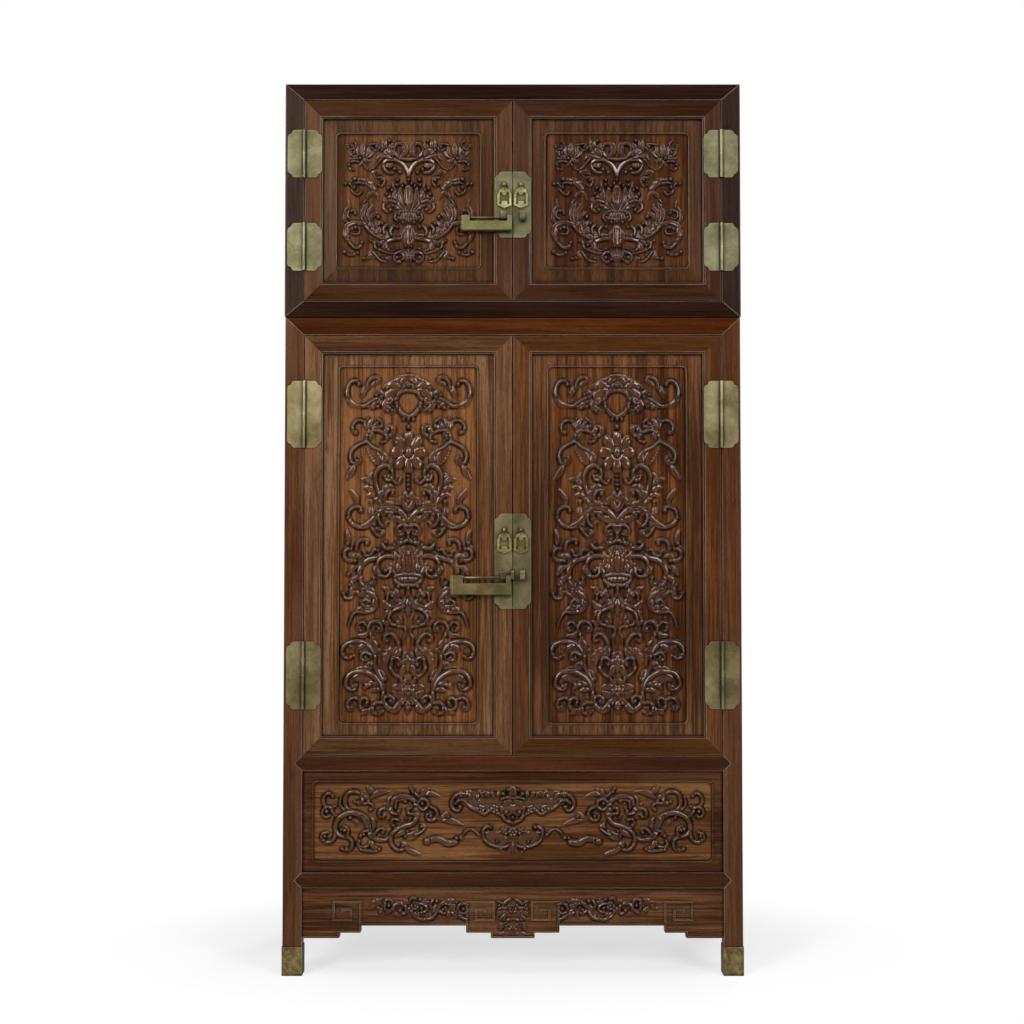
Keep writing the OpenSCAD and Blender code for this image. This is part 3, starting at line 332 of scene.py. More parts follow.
look = {}
look["lower_posts"] = rosewood("rosewood post", "z", POST)
look["lower_top_frame"] = rosewood("rosewood top frame", "xy", TOP_RAIL, shift=0.7, arris_wear_and_glint=0.8,
                                   mitre=(middle("lower_top_frame", "x"), middle("lower_top_frame", "y")))
for n in ("sill_rail", "bottom_rail", "lower_rear_rails"):
    look[n] = rosewood("rosewood " + n, "x", RAIL, shift=0.31)
look["lower_side_rails"] = rosewood("rosewood side rail", "y", POST)
look["lower_side_boards"] = rosewood("rosewood side board", "z", DOOR, shift=0.4)
look["lower_back_boards"] = rosewood("rosewood back board", "x", POST, shift=0.2, sheen=0.5)
look["lower_top_board"] = look["well_floor"] = rosewood("unwaxed top board", "x", POST, sheen=0.55)
well_bead = panel_field("well_panel", "well")
look["well_panel"] = rosewood("sunk well board", "x", WELL, shift=0.12, bead=well_bead)
look["well_carving"] = rosewood("carved well wood", "x", WELL_GROUND, shift=0.12, carved=True,
                                bead=well_bead)
look["apron_front"] = rosewood("apron board", "x", APRON, shift=0.22)
look["apron_carving"] = rosewood("carved apron wood", "x", APRON, shift=0.22, carved=True)
look["apron_sides"] = rosewood("side apron board", "y", APRON)
look["centre_post"] = rosewood("centre post wood", "z", POST, shift=0.9)
inside = rosewood("plain interior wood", "x", INSIDE, sheen=0.6, arris_wear_and_glint=0.2)
for n in ("lower_shelf", "lid_bearers", "left_lid", "right_lid", "chest_shelf", "chest_floor"):
    look[n] = inside
look["chest_posts"] = rosewood("dark chest post", "z", CHEST_POST, shift=0.15)
for n in ("chest_top_frame", "chest_bottom_frame"):
    look[n] = rosewood("dark " + n, "xy", CHEST, mitre=(middle(n, "x"), middle(n, "y")), shift=0.05)
look["chest_side_boards"] = rosewood("chest side board", "z", POST, shift=0.8)
look["chest_top_board"] = look["lower_top_board"]
look["chest_back_board"] = look["lower_back_boards"]
# Each door takes its own palettes, the left door's lighter and greyer and the right door's darker: painted
# light and shade, as the left side is lit more
for case, side, rails, frame_tone, panel_tone, ground_tone in (
        ("lower", "left", 0.57, DOOR, PANEL, GROUND_TONE),
        ("lower", "right", 0.57, DOOR_RED_SHADED, PANEL_RED_SHADED, GROUND_RED_SHADED),
        ("chest", "left", 0.6, CHEST_DOOR, CHEST_PANEL, CHEST_GROUND),
        ("chest", "right", 0.6, CHEST_DOOR_RED_SHADED, CHEST_PANEL_RED_SHADED, CHEST_GROUND_RED_SHADED)):
    door = f"{case}_{side}_"
    mitre = (middle(door + "frame", "x"), middle(door + "frame", "z"))
    bead = panel_field(door + "panel", case)
    look[door + "frame"] = rosewood(door + "frame wood", "xz", frame_tone, mitre=mitre, shift=0.1,
                                    rails=rails, arris_wear_and_glint=0.9)
    look[door + "panel"] = rosewood(door + "panel wood", "z", panel_tone, shift=0.3, bead=bead)
    look[door + "carving"] = rosewood(door + "carved wood", "z", ground_tone, shift=0.3, carved=True,
                                      bead=bead)
plate = old_brass("satin brass plate", "#736848", "#5b5032", "#8b8262", 12)
grey_plate = old_brass("grey brass plate of the chest", "#646046", "#514c33", "#7a755c", 12)
stud = old_brass("brown cast brass stud", "#6a5c40", "#453a26", "#94875f", 16, dullness=0.32)
pull = old_brass("rubbed cast brass pull", "#9b8d58", "#75693c", "#bdb27f", 16, dullness=0.3)
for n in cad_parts:
    if n.endswith(("_leaves", "_plate", "_case_hinges")):
        look[n] = grey_plate if n.startswith("chest") else plate
    elif n.endswith(("_fittings", "_bolt", "_staple")):
        look[n] = stud
    elif n.endswith("_pull"):
        look[n] = pull
# Painted shade: the lower lock's right half plate takes a darker copy of the plate's brass
look["lower_right_plate"] = old_brass("darker shaded brass half plate", "#61573b", "#4b4029", "#766d4e", 12)
look["chest_padlock"] = old_brass("green brass of the chest padlock", "#6a6645", "#595636", "#7b7755", 14)
look["lower_padlock"] = old_brass("brown brass of the lower padlock", "#6e603c", "#574a2c", "#857853", 16)
look["brass_shoes"] = old_brass("mottled brass shoe", "#7a6a47", "#57492e", "#948657", 50, dullness=0.42)
for n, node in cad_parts.items():
    node.data.materials.clear()
    node.data.materials.append(look[n])


# Carving. Each drawing is half of a mirrored design, laid stroke over stroke. A stroke
# has its height over the ground, its half widths from root to tip and the points that it
# runs through, each as "out,up": out from the mirror line and up from the middle of the
# design. All are in mm. A semicolon starts a further stroke of the same kind.
CURVE_STEP = 1.2
EDGE_WIDTH = 1.3        # over which a form rises from the ground
GOUGE_WIDTH = 1.6       # of the line cut round a form
GOUGE_CUT = 0.7         # share of what lies there that the line takes away
FORM_REACH = 6          # beyond its edge, as far as a form changes what lies there
BEAD_SWELL = 0.35       # widening of a stem on its way to a bead
LEAF_SPREAD = 1.2
BEAD_SPREAD = 1.25
RIB_SLANT = 0.45
RIB_NOTCH = 0.34
RIB_CUT = 0.55
RIB_LINE = 0.16


def places(text):
    """Points of one stroke."""
    return [[float(number) for number in point.split(",")] for point in text.split()]


def spline(points):
    """Catmull-Rom curve through the points, cut into steps."""
    p = np.array(points, float)
    if len(p) == 2:
        p = np.array([p[0], (p[0] + p[1]) / 2, p[1]])
    p = np.vstack([2 * p[0] - p[1], p, 2 * p[-1] - p[-2]])
    out = []
    for a, b, c, d in zip(p, p[1:], p[2:], p[3:]):
        n = max(2, int(np.linalg.norm(c - b) / CURVE_STEP))
        t = (np.arange(n) / n)[:, None]
        out.append(0.5 * (2 * b + (c - a) * t + (2 * a - 5 * b + 4 * c - d) * t ** 2
                          + (3 * b - a - 3 * c + d) * t ** 3))
    out.append(p[-2][None])
    return np.vstack(out)


def soften(h, n):
    """Mean over a square of 2n + 1 cells."""
    side = 2 * n + 1
    for axis in (0, 1):
        pad = [(n + 1, n) if a == axis else (0, 0) for a in (0, 1)]
        total = np.cumsum(np.pad(h, pad, mode="edge"), axis=axis)
        count = total.shape[axis]
        h = (np.take(total, range(side, count), axis) - np.take(total, range(0, count - side), axis)) / side
    return h


class Carving:
    """Height in mm over the ground. u runs out from the mirror line and v runs up."""

    def __init__(self, u, v):
        self.u, self.v = u, v
        self.h = np.zeros((len(v), len(u)))

    def near(self, low, high):
        """The part of the field within a box: where it lies, and its u and v."""
        i0, i1 = np.searchsorted(self.u, [low[0], high[0]])
        j0, j1 = np.searchsorted(self.v, [low[1], high[1]])
        uu, vv = np.meshgrid(self.u[i0:i1], self.v[j0:j1])
        return (slice(j0, j1), slice(i0, i1)), uu, vv

    def lay(self, where, inside, height):
        """Lays a form over what is there, with a gouge line round it. inside is the
        distance in mm to the form's edge, positive within."""
        h = self.h[where]
        edge = np.clip(inside / EDGE_WIDTH + 0.5, 0, 1)
        gouge = np.exp(-((np.minimum(inside, 0) + 0.6) / GOUGE_WIDTH) ** 2)
        under = h * (1 - GOUGE_CUT * gouge * (inside < 0.4))
        top = np.maximum(height * edge, under * (1 - edge))
        beside = np.maximum(under, height * edge)
        self.h[where] = np.where(inside > -3 * GOUGE_WIDTH, np.where(inside > 0, top, beside), h)

    def stem(self, height, widths, curves, **more):
        for curve in curves.split(";"):
            self.stroke("stem", height, widths, places(curve), **more)

    def leaf(self, height, widths, curves, **more):
        for curve in curves.split(";"):
            self.stroke("leaf", height, widths, places(curve), **more)

    def beads(self, r, height, middles):
        for at in places(middles):
            self.bead(at, r, height)

    def stroke(self, kind, height, widths, points, ribs=0, side=0, ball=0.0):
        """One cut form along a curve: a stem is round, a leaf is hollowed with a vein.
        ribs are notches in its edges, side is the edge that has them, or 0 for both, and
        ball is the radius of the bead that it ends in."""
        # t runs from root to tip, w is the half width and q the distance in half widths
        curve = spline(points)
        steps = np.linalg.norm(np.diff(curve, axis=0), axis=1)
        length = steps.sum()
        t = np.concatenate([[0], np.cumsum(steps)]) / length
        widths = np.atleast_1d(widths)
        w = np.interp(t, np.linspace(0, 1, len(widths)), widths)
        if ball:
            w = w * (1 + BEAD_SWELL * t)
        if kind == "leaf":
            w = LEAF_SPREAD * w * np.clip(np.sin(np.pi * np.clip(t * 0.95 + 0.05, 0, 1)), 0.02, 1) ** 0.6
        tangent = np.gradient(curve, axis=0)
        tangent /= np.linalg.norm(tangent, axis=1)[:, None] + 1e-9
        margin = w.max() * 1.35 + FORM_REACH
        where, uu, vv = self.near(curve.min(0) - margin, curve.max(0) + margin)
        if uu.size == 0:
            return
        du = uu[..., None] - curve[:, 0]
        dv = vv[..., None] - curve[:, 1]
        nearest = (np.hypot(du, dv) - w * 0.35).argmin(-1)
        du = np.take_along_axis(du, nearest[..., None], -1)[..., 0]
        dv = np.take_along_axis(dv, nearest[..., None], -1)[..., 0]
        across = tangent[nearest, 0] * dv - tangent[nearest, 1] * du
        distance = np.hypot(du, dv)
        w, t = np.maximum(w[nearest], 0.3), t[nearest]
        q = distance / w
        groove = 1
        if ribs:
            wave = (ribs * t - RIB_SLANT * np.minimum(q, 1.3)) % 1
            on = (np.sign(across) == side) | (side == 0)
            w = w * np.where(on, 1.12 * (1 - RIB_NOTCH * (np.abs(wave - 0.5) * 2) ** 2.5), 1)
            q = distance / w
            line = np.exp(-((wave - 0.02) / RIB_LINE) ** 2) + np.exp(-((wave - 1.02) / RIB_LINE) ** 2)
            groove = 1 - RIB_CUT * np.where(on, line, 0) * np.clip(q * 1.6 - 0.1, 0, 1)
        dome = np.sqrt(np.clip(1 - q ** 2, 0, 1))
        if kind == "stem":
            shape = dome ** 0.75 * (1 - 0.16 * np.exp(-((across / w - 0.3) / 0.2) ** 2))
        else:
            shape = dome ** 0.5 * (0.5 + 0.5 * np.clip(q, 0, 1) ** 1.6 + 0.25 * np.exp(-(q / 0.15) ** 2))
            shape *= 0.7 + 0.3 * np.sin(np.pi * t)
        lift = 0.86 + 0.14 * np.sin(2 * np.pi * t * max(1, length / 60))
        self.lay(where, w - distance, height * shape * groove * lift)
        if ball:
            self.bead(curve[-1], ball, height * 1.1)

    def bead(self, at, r, height):
        r = r * BEAD_SPREAD
        where, uu, vv = self.near(np.array(at) - r - FORM_REACH, np.array(at) + r + FORM_REACH)
        distance = np.hypot(uu - at[0], vv - at[1])
        if distance.size:
            dome = np.clip(1 - (distance / (r * 1.05)) ** 2, 0, 1) ** 0.4
            self.lay(where, r - distance, height * dome)

    def bloom(self, at, r, petals, height, turn=0.0, eye=0.3, cup=0.45, squash=1.0):
        """Open flower of rounded petals about a raised eye."""
        where, uu, vv = self.near(np.array(at) - r - FORM_REACH, np.array(at) + r + FORM_REACH)
        if uu.size == 0:
            return
        x, y = uu - at[0], (vv - at[1]) / squash
        distance, angle = np.hypot(x, y), np.arctan2(y, x) - turn
        lobe = np.abs(np.cos(angle * petals / 2))
        edge = r * (0.62 + 0.38 * lobe ** 0.6)
        q = np.clip(distance / edge, 0, 1)
        rise = (0.45 + cup * q ** 1.2) * np.sqrt(np.clip(1 - q ** 6, 0, 1)) * (0.55 + 0.45 * lobe ** 0.7)
        rise *= 1 - 0.28 * np.sin(angle * petals * 1.5) ** 2 * np.clip(1.5 * q - 0.3, 0, 1)
        boss = np.sqrt(np.clip(1 - (distance / (r * eye)) ** 2, 0, 1)) * 0.95
        rise *= 1 - 0.8 * np.exp(-((distance - r * eye) / 2.2) ** 2)
        self.lay(where, edge - distance, height * np.maximum(rise, boss))


def chest_scroll(cut):
    # Thin stems at the back
    cut.stem(5, (2, 2.5, 3), "125,116 123,100 112,86 97,88 85,100 74,115 58,121")
    cut.stem(5, 2, "107,86 97,76 88,63 77,59")
    cut.stem(4, 2, "166,-58 144,-59 117,-56")
    # Scrolls at the top of the middle
    cut.stem(7.5, (5.5, 6, 5.5, 4, 3.5), "-2,54 2,78 14,98 33,111 53,113 66,104 67,90 57,78 43,77 "
             "38,86", ball=4.5)
    cut.leaf(7, 6.5, "45,116 61,125 80,121 88,111", ribs=4, side=1)
    cut.leaf(8, 6, "63,98 50,96 45,104")
    cut.beads(4.5, 7.5, "24,78")
    cut.stem(7, (5, 5, 4, 3), "-2,112 15,115 31,123 41,137 35,153 22,157 14,148 18,137", ball=3.5)
    cut.leaf(6, 5.5, "23,119 8,135 10,154 16,160")
    cut.leaf(8, 7, "54,127 68,141 70,166")
    cut.leaf(8.5, 6, "49,124 51,143 41,158")
    cut.leaf(7, 5.5, "42,123 50,135 65,140")
    cut.leaf(7, 4.5, "62,143 61,158 54,164")
    cut.beads(4, 7.5, "53,164")
    cut.beads(3.5, 7.5, "72,139")
    # Palmette and curls in the upper corner
    cut.stem(6, 3, "125,113 125,127")
    cut.leaf(6.5, 5.5, "127,119 144,123 156,130 164,141; 125,119 109,123 98,133 93,144")
    cut.leaf(7, 6.5, "125,119 137,132 144,147 143,159; 124,119 113,131 107,144 109,155")
    cut.leaf(8, 7.5, "125,119 125,137 125,156")
    cut.beads(4, 7.5, "149,131")
    cut.beads(4.5, 7.5, "165,150")
    cut.stem(6, (3, 2.5), "151,163 143,155 148,144 159,140 166,148")
    cut.stem(6, 3, "109,152 98,155 86,154 82,144 90,138 98,143", ball=3)
    cut.beads(4, 7.5, "87,148")
    cut.leaf(6, 4.5, "128,115 144,112 162,116")
    cut.beads(4, 7.5, "132,116")
    cut.leaf(6, 4.5, "123,115 111,108 104,112")
    cut.leaf(5, 3.5, "125,111 131,100 137,97")
    cut.stem(6, (3.5, 3, 2.5), "136,107 151,108 163,100 159,86 150,85", ball=3)
    cut.beads(4, 7.5, "162,98")
    cut.leaf(6, 5, "100,77 88,80 76,72")
    cut.stem(7, (4, 4, 3), "82,63 70,61 66,50 73,41 80,43", ball=3.5)
    cut.beads(4, 7.5, "72,57")
    # Scrolls beside the basket
    cut.leaf(7, (7.5, 7.5, 6), "94,16 98,38 116,53 136,57 150,63", ribs=5, side=1)
    cut.stem(7, (4, 3.5, 3), "123,47 141,49 154,38 150,23 136,16 128,24")
    cut.beads(5, 8, "148,37 146,59")
    cut.stem(7, 3, "154,38 160,47 171,46", ball=4)
    # Long arch under the basket
    cut.leaf(7, 4.5, "115,-4 111,12 98,22 86,14 82,-1")
    cut.stem(7.5, (6.5, 7, 7, 6, 4.5, 3), "0,-72 15,-91 35,-101 61,-103 85,-95 107,-80 121,-59 127,-35 "
             "124,-13 116,3")
    cut.leaf(6, (7, 9, 8), "26,-95 53,-94 77,-84 98,-70 115,-51", ribs=7, side=-1)
    cut.leaf(7.5, 6.5, "112,-60 119,-35 117,-17 111,-5")
    cut.leaf(7, 6, "108,-55 108,-33 100,-19 101,-8")
    cut.leaf(7, 5, "102,-51 92,-35 81,-41")
    cut.beads(4.5, 7.5, "82,-44")
    cut.leaf(7, 5.5, "90,-76 85,-63 72,-58")
    cut.beads(4, 7.5, "71,-62")
    cut.stem(7, (4.5, 3.5), "66,-89 68,-76 59,-66 51,-72; 47,-94 49,-82 41,-70 30,-72", ball=4)
    # Scrolls in the lower corner
    cut.leaf(7, (5.5, 6, 4), "162,-60 173,-52 170,-32 161,-15 164,4")
    cut.stem(6.5, (4, 3.5, 3), "144,-35 152,-25 163,-31 164,-44 155,-51")
    cut.beads(4, 7.5, "154,-28")
    cut.beads(3.5, 7.5, "145,-35")
    cut.leaf(7.5, (8, 9, 7, 5), "120,-63 144,-62 164,-71 170,-90 163,-111 150,-126", ribs=7, side=-1)
    cut.stem(7, (4.5, 4, 3.5), "160,-115 147,-128 132,-126 126,-114", ball=4.5)
    cut.stem(6.5, (4, 3.5), "154,-78 143,-71 132,-78 135,-90 150,-91")
    cut.beads(4.5, 7.5, "143,-73")
    cut.stem(6, (3.5, 3.5, 3), "172,-140 160,-148 147,-146 138,-142", ball=4)
    cut.beads(4.5, 7.5, "173,-140")
    cut.stem(5.5, (3.5, 3.5, 3), "121,-158 109,-155 93,-155 81,-149", ball=4)
    cut.beads(4, 7.5, "121,-158")
    cut.leaf(7, 5.5, "96,-156 104,-146 100,-136")
    cut.stem(6, (4, 3.5, 3), "96,-140 86,-153 72,-165 55,-163 54,-154")
    cut.beads(4.5, 7.5, "59,-158")
    cut.stem(6, (3.5, 3), "74,-134 89,-128 92,-115 101,-109", ball=3.5)
    cut.leaf(6.5, 5.5, "58,-115 72,-114 81,-122")
    cut.beads(3.5, 7.5, "80,-122")
    cut.stem(7, (5, 5, 4, 3), "23,-103 47,-107 61,-117 57,-132 42,-139 30,-132", ball=4.5)
    cut.leaf(6, 4.5, "62,-115 65,-129 57,-140")
    cut.stem(5, 3, "80,-134 63,-140 45,-144 31,-141")
    cut.stem(7, (5, 4.5, 3.5), "16,-140 33,-143 38,-156 29,-167 16,-160", ball=4)
    cut.beads(4.5, 7.5, "31,-155")
    cut.leaf(8, 8, "0,-70 0,-97 0,-126")
    cut.leaf(6, 5, "10,-78 15,-102 7,-121")
    cut.beads(3.5, 7.5, "8,-124")
    cut.leaf(7.5, 4.5, "0,-164 0,-150 0,-134; 3,-164 6,-150 10,-137; 5,-164 11,-150 19,-141")
    # Lotus basket
    cut.leaf(8, 4.5, "0,-60 1,-43 0,-28")
    cut.leaf(7.5, 4.5, "7,-60 9,-43 7,-28")
    cut.leaf(7, 4.5, "15,-58 16,-43 15,-29")
    cut.leaf(6.5, 4.5, "22,-54 23,-43 22,-30")
    cut.leaf(6, 4.5, "29,-49 30,-43 29,-32")
    cut.stem(7, 3, "-4,-27 15,-27 30,-32")
    cut.stem(7, (3.5, 3, 2.5), "30,-56 37,-48 34,-37 26,-36", ball=3.5)
    cut.beads(4, 7.5, "15,-59")
    cut.leaf(6.5, (6.5, 7.5, 4.5), "20,-24 35,-12 49,4 58,23", ribs=5, side=-1)
    cut.leaf(7.5, (6.5, 7.5, 5), "14,-24 27,-5 37,14 43,51")
    cut.leaf(8, (6, 7, 5), "7,-24 18,0 23,24 20,45")
    cut.leaf(8.5, (6.5, 8, 7), "0,-25 3,3 5,27 3,46")
    cut.stem(7, (4.5, 4, 3.5), "35,-4 51,0 65,-6 68,-20 58,-30 49,-25", ball=4.5)
    cut.leaf(6, 4.5, "58,-5 65,2 62,10")
    cut.beads(4, 8.5, "59,18 55,34 45,29 30,57 31,43 17,41 8,47")
    cut.beads(4.5, 8.5, "-1,58")


def door_scroll(cut):
    # Bat
    cut.stem(6, (9, 16, 17, 10), "70,384 60,396 42,411 26,432")
    cut.stem(7, (13, 12, 9), "-3,440 14,440 30,436")
    cut.stem(6, (5, 5.5, 5), "66,424 45,438 21,451 -2,457")
    cut.leaf(8, 6.5, "62,421 45,430 26,429 10,417")
    cut.stem(8.5, (8, 8, 6), "-3,431 7,430 16,424")
    cut.leaf(6.5, 7, "34,443 18,445 -1,440")
    cut.stem(7.5, (5, 5.5, 6, 5.5), "34,391 29,370 15,352 -2,343")
    cut.stem(7, 5, "34,391 25,409 10,416 -2,416")
    cut.beads(4.5, 7.5, "36,392")
    cut.beads(4, 7.5, "13,338")
    cut.beads(5, 7.5, "-1,340")
    cut.beads(4.5, 8.5, "13,425")
    cut.beads(4, 7.5, "58,422")
    cut.leaf(8, 6, "23,434 10,447 -1,449")
    cut.stem(6.5, (4, 4, 3.5), "69,394 58,381 45,385 48,395")
    cut.leaf(6, 6.5, "72,397 64,373 45,359 29,367")
    cut.beads(4, 7.5, "57,361 44,362")
    cut.beads(4.5, 8, "31,371")
    cut.leaf(6, 8, "104,367 85,381 75,399 77,418")
    cut.beads(3.5, 8, "109,373 96,369 82,372 80,410 73,398 83,385 87,404")
    # Scrolls in the upper corner
    cut.stem(7, (4, 5, 6, 6, 5, 5, 4), "133,432 140,442 155,440 164,426 166,406 158,386 139,375 119,374 "
             "103,385 87,394")
    cut.leaf(5, 5, "166,394 153,378 131,371")
    cut.beads(4.5, 7.5, "134,433")
    cut.leaf(7, 6.5, "127,397 120,416 108,429 101,443")
    cut.stem(7, (4.5, 4.5, 4), "112,421 108,440 97,451 85,451 80,443", ball=4.5)
    cut.leaf(6, 4.5, "99,429 91,437 80,441")
    # Curls over the flower
    cut.stem(7, (3.5, 4, 4, 3.5), "114,327 128,335 143,332 151,319 148,303 139,300")
    cut.beads(5, 7.5, "142,302")
    cut.leaf(6.5, 5.5, "105,311 114,321 116,335")
    cut.leaf(8, 5.5, "104,311 104,327 95,340")
    cut.leaf(7, 6, "101,311 89,319 83,334")
    cut.leaf(7.5, 6, "101,309 85,312 73,321")
    cut.stem(6, 3.5, "83,339 73,330 73,317")
    cut.beads(3.5, 7.5, "110,338")
    cut.beads(3, 7.5, "84,328")
    cut.stem(6.5, 3.5, "105,309 111,300 114,281")
    cut.stem(6.5, 3.5, "109,301 100,303 96,293 104,288", ball=4)
    cut.beads(4, 7.5, "103,293")
    cut.stem(7, (3.5, 4, 4, 3.5), "101,307 83,307 65,299 57,287 65,278 76,278")
    cut.beads(4.5, 7.5, "59,287")
    cut.beads(4, 7.5, "72,276")
    cut.leaf(6.5, 5, "66,300 57,312 52,323")
    cut.stem(7.5, (4, 5, 4.5), "52,319 41,317 39,303 50,293")
    cut.leaf(8, 6, "42,321 41,308 45,295")
    # Open flower and the beads that hang from it
    cut.bloom((0, 249), 50, 8, 8.5, eye=0.24, cup=0.5, squash=1.2)
    cut.beads(5, 7, "0,318")
    cut.beads(4, 8, "0,184 0,173 0,161 0,149")
    cut.leaf(8, 5.5, "1,124 8,132 7,144")
    # Scrolls and ribbed leaves beside the flower
    cut.stem(7, (4, 4.5, 5, 4.5, 4), "114,278 134,269 150,257 157,239 153,222 139,218 130,227 134,236")
    cut.beads(4.5, 7.5, "139,225")
    cut.beads(5, 8, "151,206")
    cut.leaf(7.5, (6, 7, 5), "146,214 154,196 170,174")
    cut.leaf(6.5, (11, 12, 9), "72,208 85,231 101,252 114,265", ribs=8, side=-1)
    cut.stem(6.5, (4, 4.5, 5, 5, 4.5), "112,277 95,262 76,252 66,235 68,219 80,206")
    cut.leaf(7, 7, "70,214 64,233 69,249")
    cut.leaf(6.5, (10, 11, 8), "66,109 84,128 97,149 104,172 96,195", ribs=8, side=1)
    cut.leaf(7, 6, "95,160 112,175 130,175")
    cut.leaf(6.5, 5, "96,147 109,153 122,153; 88,129 101,134 115,130")
    cut.beads(3.5, 7.5, "108,169")
    cut.beads(4, 7.5, "100,116")
    cut.stem(5, (3.5, 3), "99,117 100,101 96,85")
    cut.leaf(5.5, 5.5, "94,71 101,86 100,101")
    cut.stem(7.5, (5, 6, 6, 5, 4.5), "65,112 79,139 87,164 89,186 80,205 64,213 49,207 42,190 48,175 "
             "59,175 62,184")
    cut.beads(5, 8, "54,184")
    cut.beads(4.5, 8.5, "51,206")
    cut.stem(7, (3.5, 4, 4), "46,180 38,169 28,165 20,171 21,179")
    cut.beads(4.5, 7.5, "24,171")
    cut.leaf(7, (9, 9, 7), "68,117 66,139 56,156 41,156", ribs=5, side=-1)
    cut.stem(7, (4.5, 4.5, 4), "63,117 61,133 52,145 40,145 39,134")
    cut.beads(4.5, 7.5, "43,137")
    # Arched scrolls under the flower
    cut.leaf(7, 6, "140,106 138,121 147,134 157,150")
    cut.leaf(6, (8, 11, 9), "23,93 45,102 64,105 77,95", ribs=6, side=1)
    cut.stem(7.5, (7, 7.5, 8, 7, 7, 6.5, 5.5, 4.5, 4), "-2,26 4,61 18,85 38,95 58,96 76,89 89,74 101,58 "
             "118,48 136,48 153,58 161,77 157,93 143,101 130,99 126,90")
    cut.beads(5, 7.5, "128,91")
    cut.beads(4, 8, "162,72")
    cut.leaf(8.5, 5, "126,51 107,58 88,78")
    cut.leaf(8, 6.5, "31,91 53,90 73,79")
    cut.stem(7, 4, "61,87 46,85 44,74", ball=4)
    cut.beads(4.5, 8, "50,77")
    cut.stem(7, (4.5, 4.5, 4), "80,81 80,66 73,53 60,51 56,61")
    cut.beads(4.5, 7.5, "61,56")
    cut.leaf(7, 7, "92,63 94,47 88,31")
    cut.beads(4.5, 8, "91,52")
    cut.stem(7, (4.5, 4.5, 4), "96,42 87,28 75,23 66,31 72,36")
    cut.beads(4.5, 7.5, "72,28")
    cut.leaf(6.5, 8, "2,39 13,59 34,70 50,73", ribs=5, side=1)
    cut.stem(7, (4.5, 4.5, 4), "3,50 19,52 31,42 28,28 17,27")
    cut.beads(4.5, 7.5, "23,34")
    cut.leaf(6.5, (7, 8, 6), "34,106 21,118 13,121 0,114", ribs=4, side=1)
    cut.leaf(7, 6, "0,90 10,106 15,120")
    cut.beads(3.5, 7.5, "31,108")
    cut.stem(6.5, (5, 5.5, 5.5, 5), "69,-1 60,-11 42,-8 26,3 0,12")
    cut.beads(4, 8, "61,6 37,-1 28,5 17,14 9,7 0,19")
    cut.leaf(8, 6, "21,-20 10,-12 -2,-4")
    # Scrolls beside the basket
    cut.leaf(7, 5.5, "166,39 162,20 163,1 172,-12")
    cut.beads(4.5, 8, "163,3")
    cut.stem(7, (4.5, 5, 5, 4), "157,-11 169,-16 172,-31 162,-43 144,-43")
    cut.beads(4.5, 8, "143,-44")
    cut.beads(3.5, 7.5, "154,-12")
    cut.leaf(6, 5, "153,-34 139,-30 128,-36")
    cut.stem(7, (4.5, 5, 5, 4), "140,-15 137,3 124,13 110,10 109,1")
    cut.beads(4.5, 7.5, "111,2")
    cut.beads(3.5, 7.5, "140,-12")
    cut.stem(7, (3.5, 4, 4, 3.5), "122,-17 114,-30 100,-28 93,-15 81,-15")
    cut.beads(3.5, 7.5, "118,-22 100,-27")
    cut.beads(4, 7.5, "81,-16")
    cut.stem(6.5, 3.5, "93,-36 80,-31 69,-22", ball=3)
    cut.stem(7.5, (6, 6.5, 6.5, 6, 5.5, 4.5), "58,-31 85,-36 111,-43 128,-61 132,-85 123,-105 107,-114 "
             "93,-106 93,-91")
    cut.leaf(8, 5, "126,-101 132,-74 122,-50")
    cut.beads(5.5, 8, "101,-106")
    cut.leaf(6.5, 5.5, "134,-59 151,-65 163,-85")
    cut.beads(4, 7.5, "161,-81")
    cut.leaf(6.5, 5.5, "131,-86 148,-95 158,-113")
    cut.beads(3.5, 7.5, "157,-109")
    cut.stem(6, 3.5, "153,-101 147,-114 150,-128")
    cut.leaf(5.5, (13, 14, 10), "128,-106 111,-128 101,-152 115,-179", ribs=8, side=-1)
    cut.stem(7, (5, 6, 6.5, 6.5, 6, 5, 4, 2), "128,-102 111,-121 93,-138 87,-156 95,-175 118,-182 "
             "140,-182 153,-196 161,-223")
    cut.leaf(8.5, 5.5, "92,-147 93,-163 105,-178")
    cut.leaf(7, 4.5, "124,-121 104,-118 90,-130")
    cut.leaf(7, 5.5, "99,-167 119,-170 139,-176")
    cut.stem(7, (4, 3.5), "104,-155 116,-149 126,-159 116,-167", ball=3)
    cut.stem(7, (4, 4.5, 4), "175,-133 167,-145 153,-143 147,-130 136,-129")
    cut.beads(4.5, 7.5, "174,-132")
    cut.leaf(7, 5, "151,-113 153,-129 158,-144")
    cut.beads(3.5, 7.5, "137,-129")
    cut.leaf(6, 4, "138,-130 126,-137 112,-136")
